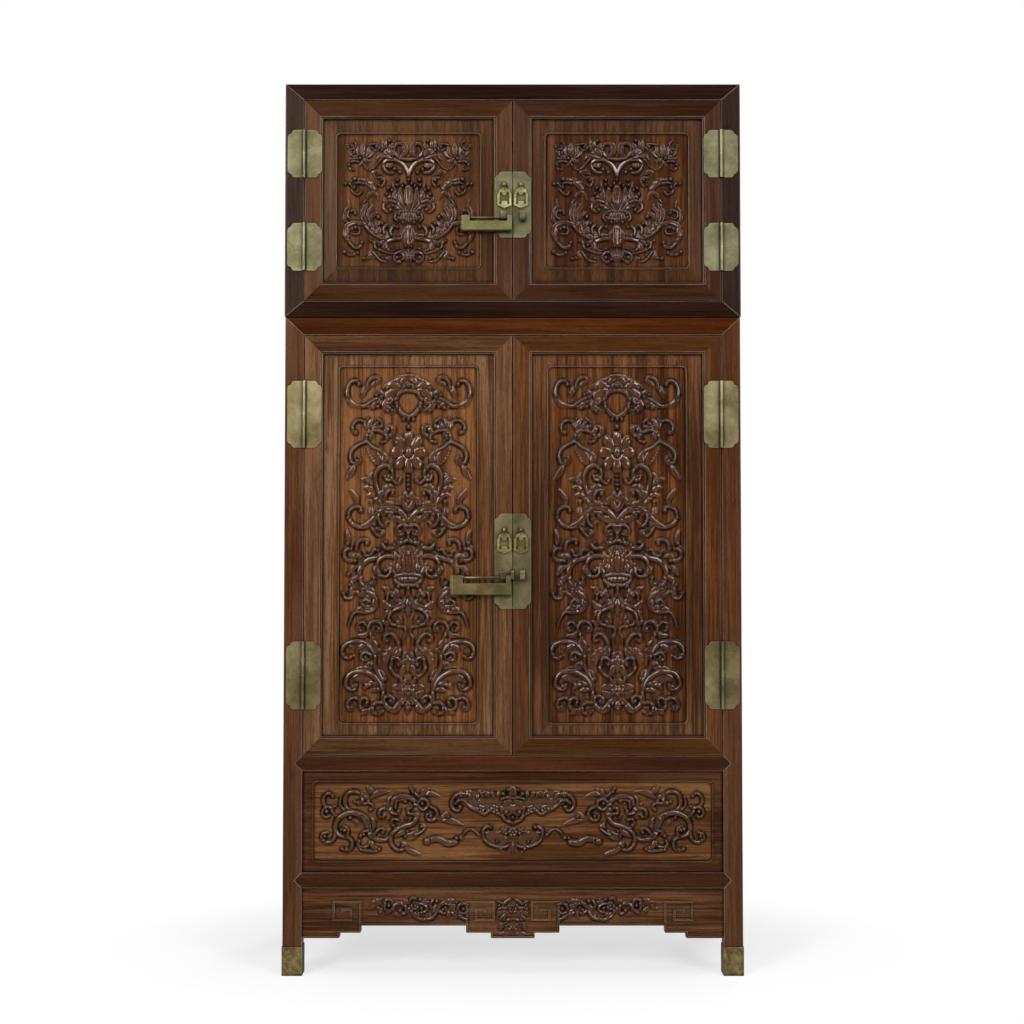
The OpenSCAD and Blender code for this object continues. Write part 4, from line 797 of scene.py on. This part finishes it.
    # Lotus basket and the leaves that hang from it
    cut.stem(7.5, (5.5, 5.5, 5.5, 5, 4.5, 4), "18,-42 41,-32 65,-33 81,-46 84,-66 76,-83 58,-86 48,-74 "
             "54,-63")
    cut.beads(5.5, 8, "61,-70")
    cut.leaf(7, 6, "77,-79 87,-70 85,-56")
    cut.leaf(6.5, 6, "30,-82 40,-67 46,-50")
    cut.leaf(7, (6.5, 8, 6), "22,-82 30,-58 31,-36 38,-20")
    cut.leaf(7.5, (6.5, 8, 6), "14,-82 18,-55 19,-31 23,-15")
    cut.leaf(8, (6.5, 8, 6), "6,-82 7,-52 7,-26 10,-12")
    cut.leaf(8.5, 6, "0,-82 0,-50 0,-15")
    cut.leaf(8.5, 5, "25,-73 27,-62 24,-50; 1,-102 0,-91 -1,-81")
    cut.leaf(8, 5, "9,-102 8,-91 8,-81")
    cut.leaf(7.5, 5, "18,-100 17,-91 16,-82")
    cut.leaf(7, 5, "26,-97 25,-91 24,-84")
    cut.leaf(6.5, 5, "34,-94 33,-91 33,-86")
    cut.stem(7, (5, 5, 4), "-2,-110 15,-110 29,-104 37,-94")
    cut.stem(7.5, 4, "-2,-81 18,-81 36,-87", ball=3.5)
    cut.beads(4.5, 8, "26,-113")
    cut.stem(8, (4.5, 6, 6, 5, 4), "0,-114 1,-133 10,-152 26,-164 45,-168 60,-159")
    cut.leaf(8, 9, "0,-143 6,-160 17,-178")
    cut.leaf(8, 6, "0,-147 0,-168 0,-192")
    cut.leaf(6, 6, "31,-121 33,-144 19,-155")
    cut.beads(4, 8, "26,-139")
    cut.leaf(7.5, 5.5, "69,-116 56,-122 59,-143")
    cut.stem(7, (4, 4, 3.5), "56,-149 54,-135 45,-129 37,-135")
    cut.beads(4, 7.5, "43,-138")
    cut.leaf(6.5, 6, "44,-168 56,-169 65,-152")
    cut.stem(7.5, (5, 5, 5, 4.5, 4), "13,-167 31,-174 48,-184 52,-202 42,-215 26,-216 18,-204 22,-195")
    cut.beads(5.5, 8, "28,-208")
    cut.leaf(6, 4.5, "48,-178 57,-183 62,-195; 49,-211 58,-213 68,-206")
    cut.stem(5.5, (3, 3, 2.5, 2), "26,-221 10,-223 5,-237 13,-253 11,-272")
    # Lower scrolls
    cut.stem(7, 4, "112,-218 121,-209 133,-213 137,-225 128,-232")
    cut.beads(4, 7.5, "131,-225")
    cut.stem(7.5, (5, 5, 4.5, 4), "100,-246 107,-227 100,-211 84,-207 72,-217 72,-230 83,-233")
    cut.beads(5, 8, "79,-227")
    cut.beads(4, 8.5, "109,-238")
    cut.leaf(6, 5.5, "107,-239 120,-246 135,-245")
    cut.leaf(7, 6, "92,-284 97,-265 95,-249")
    cut.leaf(6.5, 5.5, "89,-286 87,-272 96,-258")
    cut.beads(4, 8, "77,-284")
    cut.leaf(6, 4, "89,-295 84,-286 77,-284")
    cut.leaf(6, (8, 12, 10), "91,-305 109,-284 134,-276 158,-273", ribs=7, side=-1)
    cut.stem(7.5, (5.5, 6, 6, 5.5, 5, 4), "89,-301 99,-281 114,-268 132,-261 154,-262 171,-271 177,-286 "
             "172,-301 158,-307 148,-300")
    cut.beads(5, 8, "154,-302")
    cut.beads(3.5, 7.5, "172,-297")
    cut.leaf(8.5, 5, "114,-271 127,-275 140,-284")
    cut.stem(7, 4, "100,-297 115,-291 126,-299 122,-311 109,-309")
    cut.beads(4.5, 8, "114,-304")
    cut.leaf(6.5, 6.5, "88,-316 104,-324 114,-338")
    cut.beads(4.5, 8.5, "96,-322")
    cut.leaf(6, 5, "93,-331 115,-333 139,-334")
    cut.leaf(7, 6, "61,-359 73,-344 89,-340")
    cut.beads(4, 8, "62,-362")
    cut.leaf(6, (9, 14, 12), "69,-394 91,-370 118,-359 150,-358", ribs=8, side=-1)
    cut.stem(6, (4.5, 5, 6, 6.5, 6, 5, 4), "88,-301 89,-321 80,-346 68,-373 66,-402")
    cut.stem(7.5, (5.5, 6, 6.5, 6, 5.5, 4.5), "66,-397 76,-373 91,-355 109,-344 131,-341 153,-346 "
             "165,-360 167,-377 157,-389 143,-388 139,-378")
    cut.beads(5, 8, "148,-381")
    cut.leaf(8, 5, "80,-378 99,-372 111,-377")
    cut.leaf(8.5, 5, "99,-377 111,-379 121,-390")
    cut.leaf(8, 5, "75,-391 89,-390 103,-395")
    cut.stem(7.5, (5.5, 6.5, 6.5, 5, 4), "67,-399 64,-424 50,-441 34,-443 22,-428 18,-412")
    cut.leaf(8, 7.5, "44,-451 31,-441 22,-425")
    cut.stem(7, (4.5, 4.5, 4), "65,-426 61,-412 49,-407 38,-416 42,-425")
    cut.beads(4.5, 8, "47,-421")
    cut.stem(7, (4.5, 4.5, 4), "130,-417 144,-412 158,-418 163,-432 157,-443 146,-441")
    cut.beads(4.5, 8, "151,-437")
    cut.stem(7, (4, 4.5, 4.5, 5), "111,-430 108,-418 118,-412 128,-420 128,-436 116,-447 101,-447")
    cut.beads(4, 8, "110,-425")
    cut.leaf(7, 6, "127,-455 112,-448 96,-455")
    cut.stem(8, (5, 5, 4.5), "104,-448 96,-434 85,-425 72,-426")
    cut.stem(7, 4.5, "95,-440 92,-452 80,-456 69,-449")
    cut.beads(4, 8, "86,-454")
    cut.beads(4, 7.5, "73,-451")
    # Stems to the flower at the foot
    cut.stem(7, (4.5, 5, 5, 5, 4.5), "62,-261 62,-247 49,-240 34,-250 25,-269 30,-288 44,-308 47,-330 "
             "37,-348 19,-360")
    cut.beads(4.5, 8, "56,-259")
    cut.leaf(7.5, (9, 9, 7), "25,-276 36,-295 50,-316")
    cut.leaf(6, 8, "46,-280 58,-300 61,-327", ribs=4, side=1)
    cut.leaf(6.5, 7, "23,-281 29,-297 45,-312")
    cut.stem(7, (4.5, 4, 4), "45,-324 43,-309 31,-305 21,-313 22,-325")
    cut.beads(4.5, 8, "25,-324")
    cut.leaf(6.5, 6, "0,-288 9,-299 13,-313; -2,-308 11,-317 17,-328")
    cut.leaf(7, 7, "-2,-324 13,-336 21,-356")
    cut.leaf(7.5, 6, "0,-297 0,-319 0,-346")
    cut.stem(7, 4.5, "19,-360 14,-375 0,-390")
    cut.leaf(6.5, 5, "15,-383 10,-371 0,-362")
    cut.leaf(7, 8, "5,-397 25,-383 44,-387")
    cut.leaf(6.5, 8, "5,-404 25,-406 41,-394")
    cut.bloom((0, -405), 24, 4, 8, turn=0.8, eye=0.36)
    cut.leaf(6.5, 6, "21,-429 9,-416 6,-405")
    cut.beads(4, 8, "13,-427")
    cut.leaf(8.5, 7, "0,-453 0,-437 0,-421")
    cut.beads(5, 8.5, "0,-441")


def well_scroll(cut):
    # Scrolls at the end
    cut.stem(7, (4, 4.5, 4.5, 4), "482,67 492,76 504,69 508,55 502,41 488,38 476,40")
    cut.beads(4, 7, "482,67")
    cut.stem(7, (4, 4, 3.5), "484,33 495,39 507,33 510,20 502,11 491,15")
    cut.beads(4.5, 7, "499,27")
    cut.stem(5.5, 3, "486,29 478,19 470,11")
    cut.stem(7, (4, 4.5, 5, 5, 4.5), "496,-29 509,-33 511,-47 500,-55 486,-53 476,-40 475,-21")
    cut.beads(4, 7, "506,-50 503,-39")
    cut.stem(6, (3, 4, 4), "460,64 463,48 454,33 439,26")
    cut.stem(7.5, (4.5, 5.5, 5.5, 5, 4.5), "431,25 446,39 450,59 442,75 424,80 407,72 402,57 411,47 "
             "423,53")
    cut.beads(5, 8, "414,50")
    cut.leaf(6, 4.5, "407,72 394,64 384,53")
    cut.beads(4, 7, "387,53")
    cut.stem(6.5, (3.5, 4), "399,47 386,49 375,41 380,29")
    cut.beads(4, 7, "381,31")
    cut.leaf(6.5, 6, "390,93 382,84 370,73")
    cut.leaf(7.5, (6.5, 7, 4), "383,61 368,72 351,79 328,79")
    cut.stem(7.5, (5, 6, 7, 7.5, 7, 6, 5), "442,-41 459,-39 472,-29 475,-12 468,7 451,19 428,23 407,17 "
             "392,4 384,-16 378,-36 363,-48 343,-49 328,-41")
    cut.leaf(8.5, 5, "406,15 395,0 388,-20")
    cut.leaf(8.5, 5.5, "387,-27 380,-37 370,-47")
    cut.stem(7.5, (4.5, 5, 4.5), "444,-40 431,-51 431,-68 444,-77 458,-72")
    cut.beads(4.5, 8, "445,-74")
    cut.stem(7, (4, 4, 3.5), "443,-37 441,-23 451,-14 460,-23")
    cut.beads(4.5, 8, "450,-23")
    cut.beads(3, 7, "454,-13")
    cut.beads(4.5, 8.5, "435,10")
    cut.leaf(6, 4, "431,5 420,-1 410,-11")
    cut.stem(7, 4, "388,-25 400,-27 407,-39")
    cut.beads(4, 7, "407,-39")
    cut.beads(3.5, 8, "399,-34")
    cut.leaf(6.5, 5, "378,9 372,-7 374,-24")
    cut.stem(7, (4, 4, 3.5), "372,-37 363,-24 351,-18 343,-24")
    cut.beads(4, 8, "348,-29")
    cut.stem(6.5, 4, "410,-51 415,-63 404,-70 390,-66 382,-55")
    cut.beads(4, 7, "414,-62")
    cut.stem(6.5, (3.5, 4, 4), "407,-75 388,-78 370,-79 356,-73")
    cut.beads(4.5, 8, "358,-73")
    cut.leaf(6.5, 5, "378,-53 374,-67 362,-73")
    # Scrolls half way along
    cut.stem(7, (4, 4.5, 4.5, 4.5, 4), "344,16 355,12 358,25 347,35 332,32 319,21 306,23 303,36")
    cut.beads(4, 8, "347,12")
    cut.beads(4.5, 7, "306,27")
    cut.leaf(7.5, 6, "322,28 334,39 346,47")
    cut.leaf(7, 6, "332,37 331,53 322,68")
    cut.stem(7.5, (4.5, 4.5, 4), "314,37 314,51 303,59 290,57")
    cut.beads(4.5, 8.5, "288,55")
    cut.stem(7.5, (5, 6, 6.5, 7, 7, 6.5, 6, 5.5, 5, 4.5), "324,45 320,60 303,67 282,65 264,56 255,37 "
             "256,15 267,-4 290,-13 311,-21 325,-36 326,-55 315,-72 298,-75 287,-64 296,-57")
    cut.beads(5, 8, "293,-65")
    cut.leaf(8.5, 4, "268,43 259,45 251,37; 268,29 259,32 251,24; 268,16 259,19 251,11")
    cut.stem(6.5, 3.5, "268,20 279,21 281,33 271,36", ball=3)
    cut.beads(3.5, 7, "286,8")
    cut.stem(7, (4, 4, 3.5), "307,4 320,7 326,-5 316,-16")
    cut.beads(4.5, 8, "320,-10")
    cut.leaf(8.5, 6, "316,-40 298,-31 276,-21")
    cut.leaf(7, 9, "252,-28 271,-39 291,-41")
    cut.beads(4, 8, "282,-26")
    cut.beads(3.5, 8, "288,-40")
    cut.leaf(6.5, 5.5, "291,-69 271,-80 244,-89")
    cut.stem(6.5, 4, "274,89 264,77 251,64")
    cut.beads(4, 8, "268,79")
    cut.leaf(7, (6.5, 6, 4), "250,64 232,75 212,72 191,64")
    cut.leaf(7, 5.5, "244,67 238,80 224,87")
    cut.stem(7, (4, 4.5, 4), "254,51 242,60 228,53 228,40 240,31 251,37")
    cut.beads(4, 8, "243,48")
    cut.stem(7.5, (4, 5, 5, 4.5), "220,39 207,32 202,17 211,5 226,5 230,17 220,21")
    cut.beads(4, 8, "220,14")
    cut.leaf(7, (7, 7, 4), "202,9 178,5 154,-2 130,-11")
    cut.leaf(7, 5, "194,8 182,16 176,25")
    cut.beads(4, 8.5, "173,13")
    cut.stem(7, 4, "262,-36 247,-29 236,-17 244,-7")
    cut.beads(4.5, 8, "244,-14")
    # Flowers and leaves in the middle
    cut.stem(7, (9, 8, 8, 9, 8), "231,-55 214,-47 194,-48 175,-58 154,-55")
    cut.beads(7.5, 7.5, "230,-53")
    cut.beads(4.5, 8.5, "150,-44 138,-43")
    cut.stem(6, 3, "136,-41 128,-28 116,-21 103,-24 92,-35 78,-41")
    cut.leaf(5.5, 22, "26,51 66,53 106,59 151,64")
    cut.stem(7.5, (4.5, 5, 5, 4.5), "139,38 148,29 160,35 164,51 156,67 140,74 119,71")
    cut.beads(5, 8, "141,38")
    cut.stem(7, 4.5, "154,48 143,57 130,55 116,40 98,30 76,20 62,29 45,25 27,15")
    cut.leaf(8.5, 4.5, "138,64 138,72 138,80; 123,76 116,68 110,60; 94,59 95,66 96,73; 86,79 81,71 "
             "76,64; 67,64 67,72 67,80; 58,80 53,71 49,63; 38,65 39,73 39,81")
    cut.bloom((86, 33), 12.5, 5, 7.5)
    cut.bloom((49, 33), 12, 5, 7.5)
    cut.bloom((59, -49), 12, 5, 7.5)
    cut.bloom((25, -28), 12, 5, 7.5)
    cut.bloom((0, -29), 14, 6, 7.5)
    cut.beads(3.5, 8.5, "72,71")
    cut.stem(7.5, (5, 5, 4.5), "27,15 18,3 0,-5")
    cut.beads(5, 8.5, "26,74")
    cut.beads(3.5, 8, "13,84")
    cut.leaf(7.5, 9, "0,61 0,77 0,92")
    cut.leaf(6.5, 14, "29,32 13,32 0,32")
    cut.leaf(8.5, 6, "27,45 15,51 3,57")
    cut.beads(5, 8.5, "18,25")
    cut.beads(4, 8.5, "0,11")
    cut.stem(7, 4, "30,60 17,64 0,63")
    cut.leaf(5.5, 18, "79,-40 47,-47 15,-53")
    cut.stem(7, 4.5, "78,-41 80,-25 71,-15 59,-14")
    cut.beads(4, 8.5, "60,-15")
    cut.stem(7, 4, "76,-48 64,-59 45,-67 26,-69 10,-63")
    cut.beads(3.5, 8, "42,-53")
    cut.leaf(7, 5, "0,-59 5,-71 11,-83")
    cut.leaf(7.5, 4.5, "0,-56 0,-69 0,-84")
    cut.stem(5, (3, 2.5), "34,-71 29,-77 23,-83")


def apron_scroll(cut):
    # Outer scrolls
    cut.leaf(5, (5, 6, 4.5), "389,0 377,5 369,16 357,18 345,11")
    cut.stem(5.5, (4, 4.5, 4), "348,9 342,22 330,27 321,19 322,7")
    cut.beads(4, 6, "331,10")
    cut.stem(5.5, (4, 4, 3.5), "341,16 341,1 330,-7 318,-1")
    cut.leaf(5, 5.5, "361,5 353,-5 340,-11")
    cut.beads(3.5, 5.5, "354,-7")
    cut.leaf(4.5, 5, "369,16 361,22 350,25")
    cut.stem(6, (4.5, 5.5, 5, 4.5), "336,-10 324,-1 315,11 302,16 289,11 284,-1 289,-12 298,-8")
    cut.beads(4.5, 6, "301,-3")
    cut.leaf(4.5, 4.5, "294,19 284,21 276,15")
    cut.leaf(4.5, 5, "321,-8 310,-14 297,-13")
    cut.leaf(5, 5, "282,-8 273,1 271,13")
    # Flower and inner scrolls
    cut.bloom((261, 9), 13, 5, 7.5)
    cut.stem(5.5, 4, "275,23 269,30 260,28")
    cut.beads(4, 6, "247,26")
    cut.stem(5.5, (4, 4.5, 4), "271,-5 260,-19 245,-27 228,-25 217,-16")
    cut.leaf(5, 4.5, "264,-11 252,-14 243,-8")
    cut.stem(6, (4, 4.5, 4.5, 4), "251,15 239,15 229,5 233,-5 244,-8")
    cut.beads(4, 6, "243,3 233,24")
    cut.leaf(5, 4.5, "244,21 228,16 216,3")
    cut.stem(5.5, (4, 4.5, 4), "213,24 221,13 215,3 204,5")
    cut.beads(4.5, 6, "203,22")
    cut.stem(6.5, (5, 5.5, 6, 5.5, 5), "227,-26 213,-21 205,-7 197,9 184,18 171,16 161,5 152,-7 140,-19 "
             "122,-27")
    cut.leaf(5, 4, "216,-12 209,0 203,12")
    cut.stem(5.5, 4, "195,-5 185,-11 176,-5 180,5")
    cut.beads(4, 6, "187,-1")
    cut.leaf(5, 4.5, "176,-5 172,-15 176,-24")
    cut.leaf(5, 5, "177,20 165,23 153,16")
    cut.beads(3.5, 5.5, "149,19")
    cut.leaf(6, 5, "165,9 157,8 148,-1")
    cut.leaf(5.5, 4.5, "164,-9 153,-15 152,-27")
    cut.stem(6, (4, 4.5, 4.5, 4), "147,-1 144,11 132,16 120,12")
    cut.beads(4, 6, "132,1")
    cut.stem(5.5, 4, "143,-8 131,-11 121,-5")


def apron_medallion(cut):
    cut.bloom((0, 1), 13.5, 6, 7.5)
    cut.stem(5.5, (4.5, 5, 5, 4.5), "39,21 26,15 14,23 6,28")
    cut.stem(5.5, (4.5, 5, 4.5), "40,-7 34,5 20,3 11,11")
    cut.beads(4, 5.5, "36,11")
    cut.leaf(5.5, 6, "42,-16 28,-9 13,-13")
    cut.leaf(5, 5, "38,-27 24,-21 16,-9")
    cut.beads(4, 5.5, "22,-28")
    cut.stem(5.5, (4, 4.5, 4), "0,-25 14,-28 17,-39 9,-44")
    cut.leaf(5, 6, "36,-55 28,-43 14,-36")
    cut.beads(4, 6, "18,-46")
    cut.leaf(5, 4.5, "7,-45 3,-56 0,-66")
    cut.leaf(5.5, 6.5, "4,-61 14,-55 26,-60")
    cut.leaf(4.5, 5, "8,-66 22,-65 36,-67")


GROUND = 7.7 * mm           # from the front of the posts back to the ground of a sunk panel
BOARD_BACK = 6 * mm         # from the ground back to the back of a carved board
FULL_RELIEF = 6             # height in mm at which wood counts as fully raised
FULL_HOLLOW = 3             # depth in mm at which a gouge takes the full painted shade
SKIN_SINK = 0.5             # depth in mm of a skin's edge under the flat face
CHEST_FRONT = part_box("chest_posts")[0][1]
APRON_FACE = FRONT + 5 * mm
APRON_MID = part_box("apron_front")[0][2] + 76 * mm


def carved_board(name, drawing, centre, half_w, low, high, cell, body, slot, skin=None):
    """Closed board whose face is the carved height over its ground. Its rim and back lie
    inside the solid panel. skin is the rise of a stained skin round carving on a flat face."""
    columns = 2 * round(half_w / cell)
    rows = round((high - low) / cell)
    carving = Carving(np.linspace(0, half_w, columns // 2 + 1), np.linspace(low, high, rows + 1))
    drawing(carving)
    # The wear of hands and cloths rounds the cuts
    h = 0.4 * carving.h + 0.6 * soften(carving.h, 1)
    hollow = np.clip((soften(h, 3) - h) / FULL_HOLLOW, 0, 1)
    relief = np.clip(h / FULL_RELIEF, 0, 1)
    if skin is not None:
        h = h + skin * np.clip(3 * soften(h, 3), 0, 1) - SKIN_SINK
    bm = bmesh.new()
    bmesh.ops.create_grid(bm, x_segments=columns, y_segments=rows, size=1)
    for vert in bm.verts:
        i = round((vert.co.x + 1) / 2 * columns)
        j = round((vert.co.y + 1) / 2 * rows)
        out = abs(i - columns // 2)
        vert.co = Vector((centre[0] + (i - columns // 2) * half_w * 2 / columns * mm,
                          centre[1] - h[j, out] * mm,
                          centre[2] + carving.v[j] * mm))
    rim = [e for e in bm.edges if e.is_boundary]
    back = bmesh.ops.extrude_edge_only(bm, edges=rim)["geom"]
    back_verts = [g for g in back if isinstance(g, bmesh.types.BMVert)]
    back_edges = [g for g in back if isinstance(g, bmesh.types.BMEdge) and g.is_boundary]
    bmesh.ops.translate(bm, vec=(0, BOARD_BACK, 0), verts=back_verts)
    bmesh.ops.edgeloop_fill(bm, edges=back_edges)
    bmesh.ops.recalc_face_normals(bm, faces=bm.faces)
    mesh = bpy.data.meshes.new(name)
    bm.to_mesh(mesh)
    bm.free()
    mesh.shade_smooth()
    where = np.empty(len(mesh.vertices) * 3)
    mesh.vertices.foreach_get("co", where)
    where = where.reshape(-1, 3) / mm
    out = np.abs(np.rint((where[:, 0] - centre[0] / mm) * columns / half_w / 2)).astype(int)
    up = np.rint((where[:, 2] - centre[2] / mm - low) * rows / (high - low)).astype(int)
    for attribute, values in (("relief", relief), ("hollow", hollow)):
        layer = mesh.attributes.new(attribute, "FLOAT", "POINT")
        layer.data.foreach_set("value", values[up, out])
    piece = bpy.data.objects.new(name, mesh)
    bpy.context.scene.collection.objects.link(piece)
    mesh.materials.append(look[slot.replace("_panel", "_carving").replace("_front", "_carving")])
    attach(piece, body)


for case, drawing, face, cell in (("lower", door_scroll, FRONT, 1.95),
                                  ("chest", chest_scroll, CHEST_FRONT, 1.25)):
    for side in ("left", "right"):
        node = f"{case}_{side}_panel"
        centre, half_w, half_h = panel_field(node, case)
        carved_board(f"{case}_{side}_carving", drawing, (centre[0], face + GROUND, centre[2]),
                     half_w, -half_h, half_h, cell, f"{case}_{side}_door", node)
centre, half_w, half_h = panel_field("well_panel", "well")
carved_board("well_carving", well_scroll, (0, FRONT + GROUND, centre[2]), half_w, -half_h, half_h, 1.7,
             "lower_cabinet", "well_panel")
carved_board("apron_carving", apron_scroll, (0, APRON_FACE, APRON_MID), 400, -36, 40, 1.5,
             "lower_cabinet", "apron_front", skin=0.8)
carved_board("apron_medallion", apron_medallion, (0, APRON_FACE, APRON_MID), 50, -73, 38, 1.1,
             "lower_cabinet", "apron_front", skin=0.8)


# Pale studio floor that takes the cabinet's shadow. The camera sees it shaded in an oval
# round the cabinet and plain white beyond
OVAL_SHIFT = -0.08
OVAL_HALF_WIDTH = 1.2
OVAL_HALF_DEPTH = 0.8
bm = bmesh.new()
bmesh.ops.create_grid(bm, x_segments=1, y_segments=1, size=30)
floor_mesh = bpy.data.meshes.new("floor")
bm.to_mesh(floor_mesh)
bm.free()
floor = bpy.data.objects.new("floor", floor_mesh)
bpy.context.scene.collection.objects.link(floor)
paint, t = new_material("pale matt floor paint")
matt = add(t, "BsdfDiffuse", {"Color": (0.8, 0.8, 0.8, 1)})
half_matt = add(t, "BsdfDiffuse", {"Color": (0.5, 0.5, 0.5, 1)})
lit = add(t, "Emission", {"Color": (1, 1, 1, 1), "Strength": 0.62})
near = add(t, "AddShader", {0: half_matt, 1: lit})
oval = add(t, "Mapping", {"Vector": add(t, "TexCoord", out="Object"), "Location": (0, OVAL_SHIFT, 0),
                          "Scale": (0.5 / OVAL_HALF_WIDTH, 0.5 / OVAL_HALF_DEPTH, 1)})
away = add(t, "VectorMath", {0: oval}, out="Value", operation="LENGTH")
far = add(t, "ValToRGB", {0: away}, stops=[(0.27, 0.0), (0.5, 1.0)])
white = add(t, "Emission", {"Color": (1, 1, 1, 1), "Strength": 1.0})
seen = add(t, "MixShader", {0: far, 1: near, 2: white})
camera_ray = add(t, "LightPath", out="Is Camera Ray")
add(t, "OutputMaterial", {0: add(t, "MixShader", {0: camera_ray, 1: matt, 2: seen})})
floor_mesh.materials.append(paint)

# Room: white behind and beside the cabinet, dim where the camera stands, with a tall
# narrow window just left of the camera and two high lamps that only gloss shows
WINDOW_LIGHT = 1.1
LAMP_LIGHT = 22.0
world = bpy.data.worlds.new("studio")
bpy.context.scene.world = world
world.use_nodes = True
t = world.node_tree
t.nodes.clear()
path = add(t, "LightPath", out="Is Camera Ray").node
axes = add(t, "SeparateXYZ", {0: add(t, "TexCoord", out="Generated")}).node
behind = add(t, "Math", {0: axes.outputs["Y"], 1: 0.5, 2: 0.5}, operation="MULTIPLY_ADD")
across = add(t, "Math", {0: axes.outputs["X"], 1: 0.5, 2: 0.5}, operation="MULTIPLY_ADD")
room_tone = add(t, "ValToRGB", {0: behind}, stops=[(0.6, 0.05), (0.92, 0.7)])
window = add(t, "ValToRGB", {0: across}, stops=[(0.452, 0.0), (0.47, 1.0), (0.496, 1.0), (0.506, 0.0)])
in_front = add(t, "Math", {0: behind, 1: 0.1}, operation="LESS_THAN")
window = add(t, "Math", {0: window, 1: in_front}, operation="MULTIPLY")
seen = add(t, "Math", {0: window, 1: WINDOW_LIGHT, 2: room_tone}, operation="MULTIPLY_ADD")
height = add(t, "ValToRGB", {0: axes.outputs["Z"]},
             stops=[(0.44, 0.0), (0.5, 1.0), (0.64, 1.0), (0.7, 0.0)])
side = add(t, "Math", {0: axes.outputs["X"]}, operation="ABSOLUTE")
side = add(t, "ValToRGB", {0: side}, stops=[(0.16, 0.0), (0.24, 1.0), (0.46, 1.0), (0.54, 0.0)])
lamps = add(t, "Math", {0: height, 1: side}, operation="MULTIPLY")
camera_half = add(t, "Math", {0: behind, 1: 0.45}, operation="LESS_THAN")
lamps = add(t, "Math", {0: lamps, 1: camera_half}, operation="MULTIPLY")
seen = add(t, "Math", {0: lamps, 1: LAMP_LIGHT, 2: seen}, operation="MULTIPLY_ADD")
gloss = add(t, "Background", {"Color": seen, "Strength": 1.0})
ambient = add(t, "Background", {"Color": (0.93, 0.96, 1, 1), "Strength": 0.16})
white = add(t, "Background", {"Color": (1, 1, 1, 1), "Strength": 1.0})
mirrored = add(t, "Math", {0: path.outputs["Is Glossy Ray"], 1: path.outputs["Is Transmission Ray"]},
               operation="MAXIMUM")
room = add(t, "MixShader", {0: mirrored, 1: ambient, 2: gloss})
room = add(t, "MixShader", {0: path.outputs["Is Camera Ray"], 1: room, 2: white})
add(t, "OutputWorld", {0: room})


def softbox(name, at, to, width, height, watts, colour=(1, 1, 1), mirrored=True):
    """Area lamp. One that is not mirrored lights the matt part of a finish only."""
    data = bpy.data.lights.new(name, "AREA")
    data.shape = "RECTANGLE"
    data.size, data.size_y, data.energy, data.color = width, height, watts, colour
    lamp = bpy.data.objects.new(name, data)
    lamp.visible_glossy = mirrored
    lamp.location = at
    lamp.rotation_euler = (Vector(to) - Vector(at)).to_track_quat("-Z", "Y").to_euler()
    bpy.context.scene.collection.objects.link(lamp)


softbox("key", (-3.6, -6.0, 3.4), (0, 0, 1.2), 1.7, 2.2, 250, (1, 0.98, 0.95))
softbox("fill", (3.6, -5.2, 2.9), (0, 0, 1.2), 1.4, 2.0, 165, (0.97, 0.98, 1))
softbox("top", (0, -1.2, 4.4), (0, -0.2, 0), 2.6, 1.0, 30)
softbox("back", (2.5, 5.5, 3.0), (0, 0, 1.2), 2.0, 2.0, 125, mirrored=False)
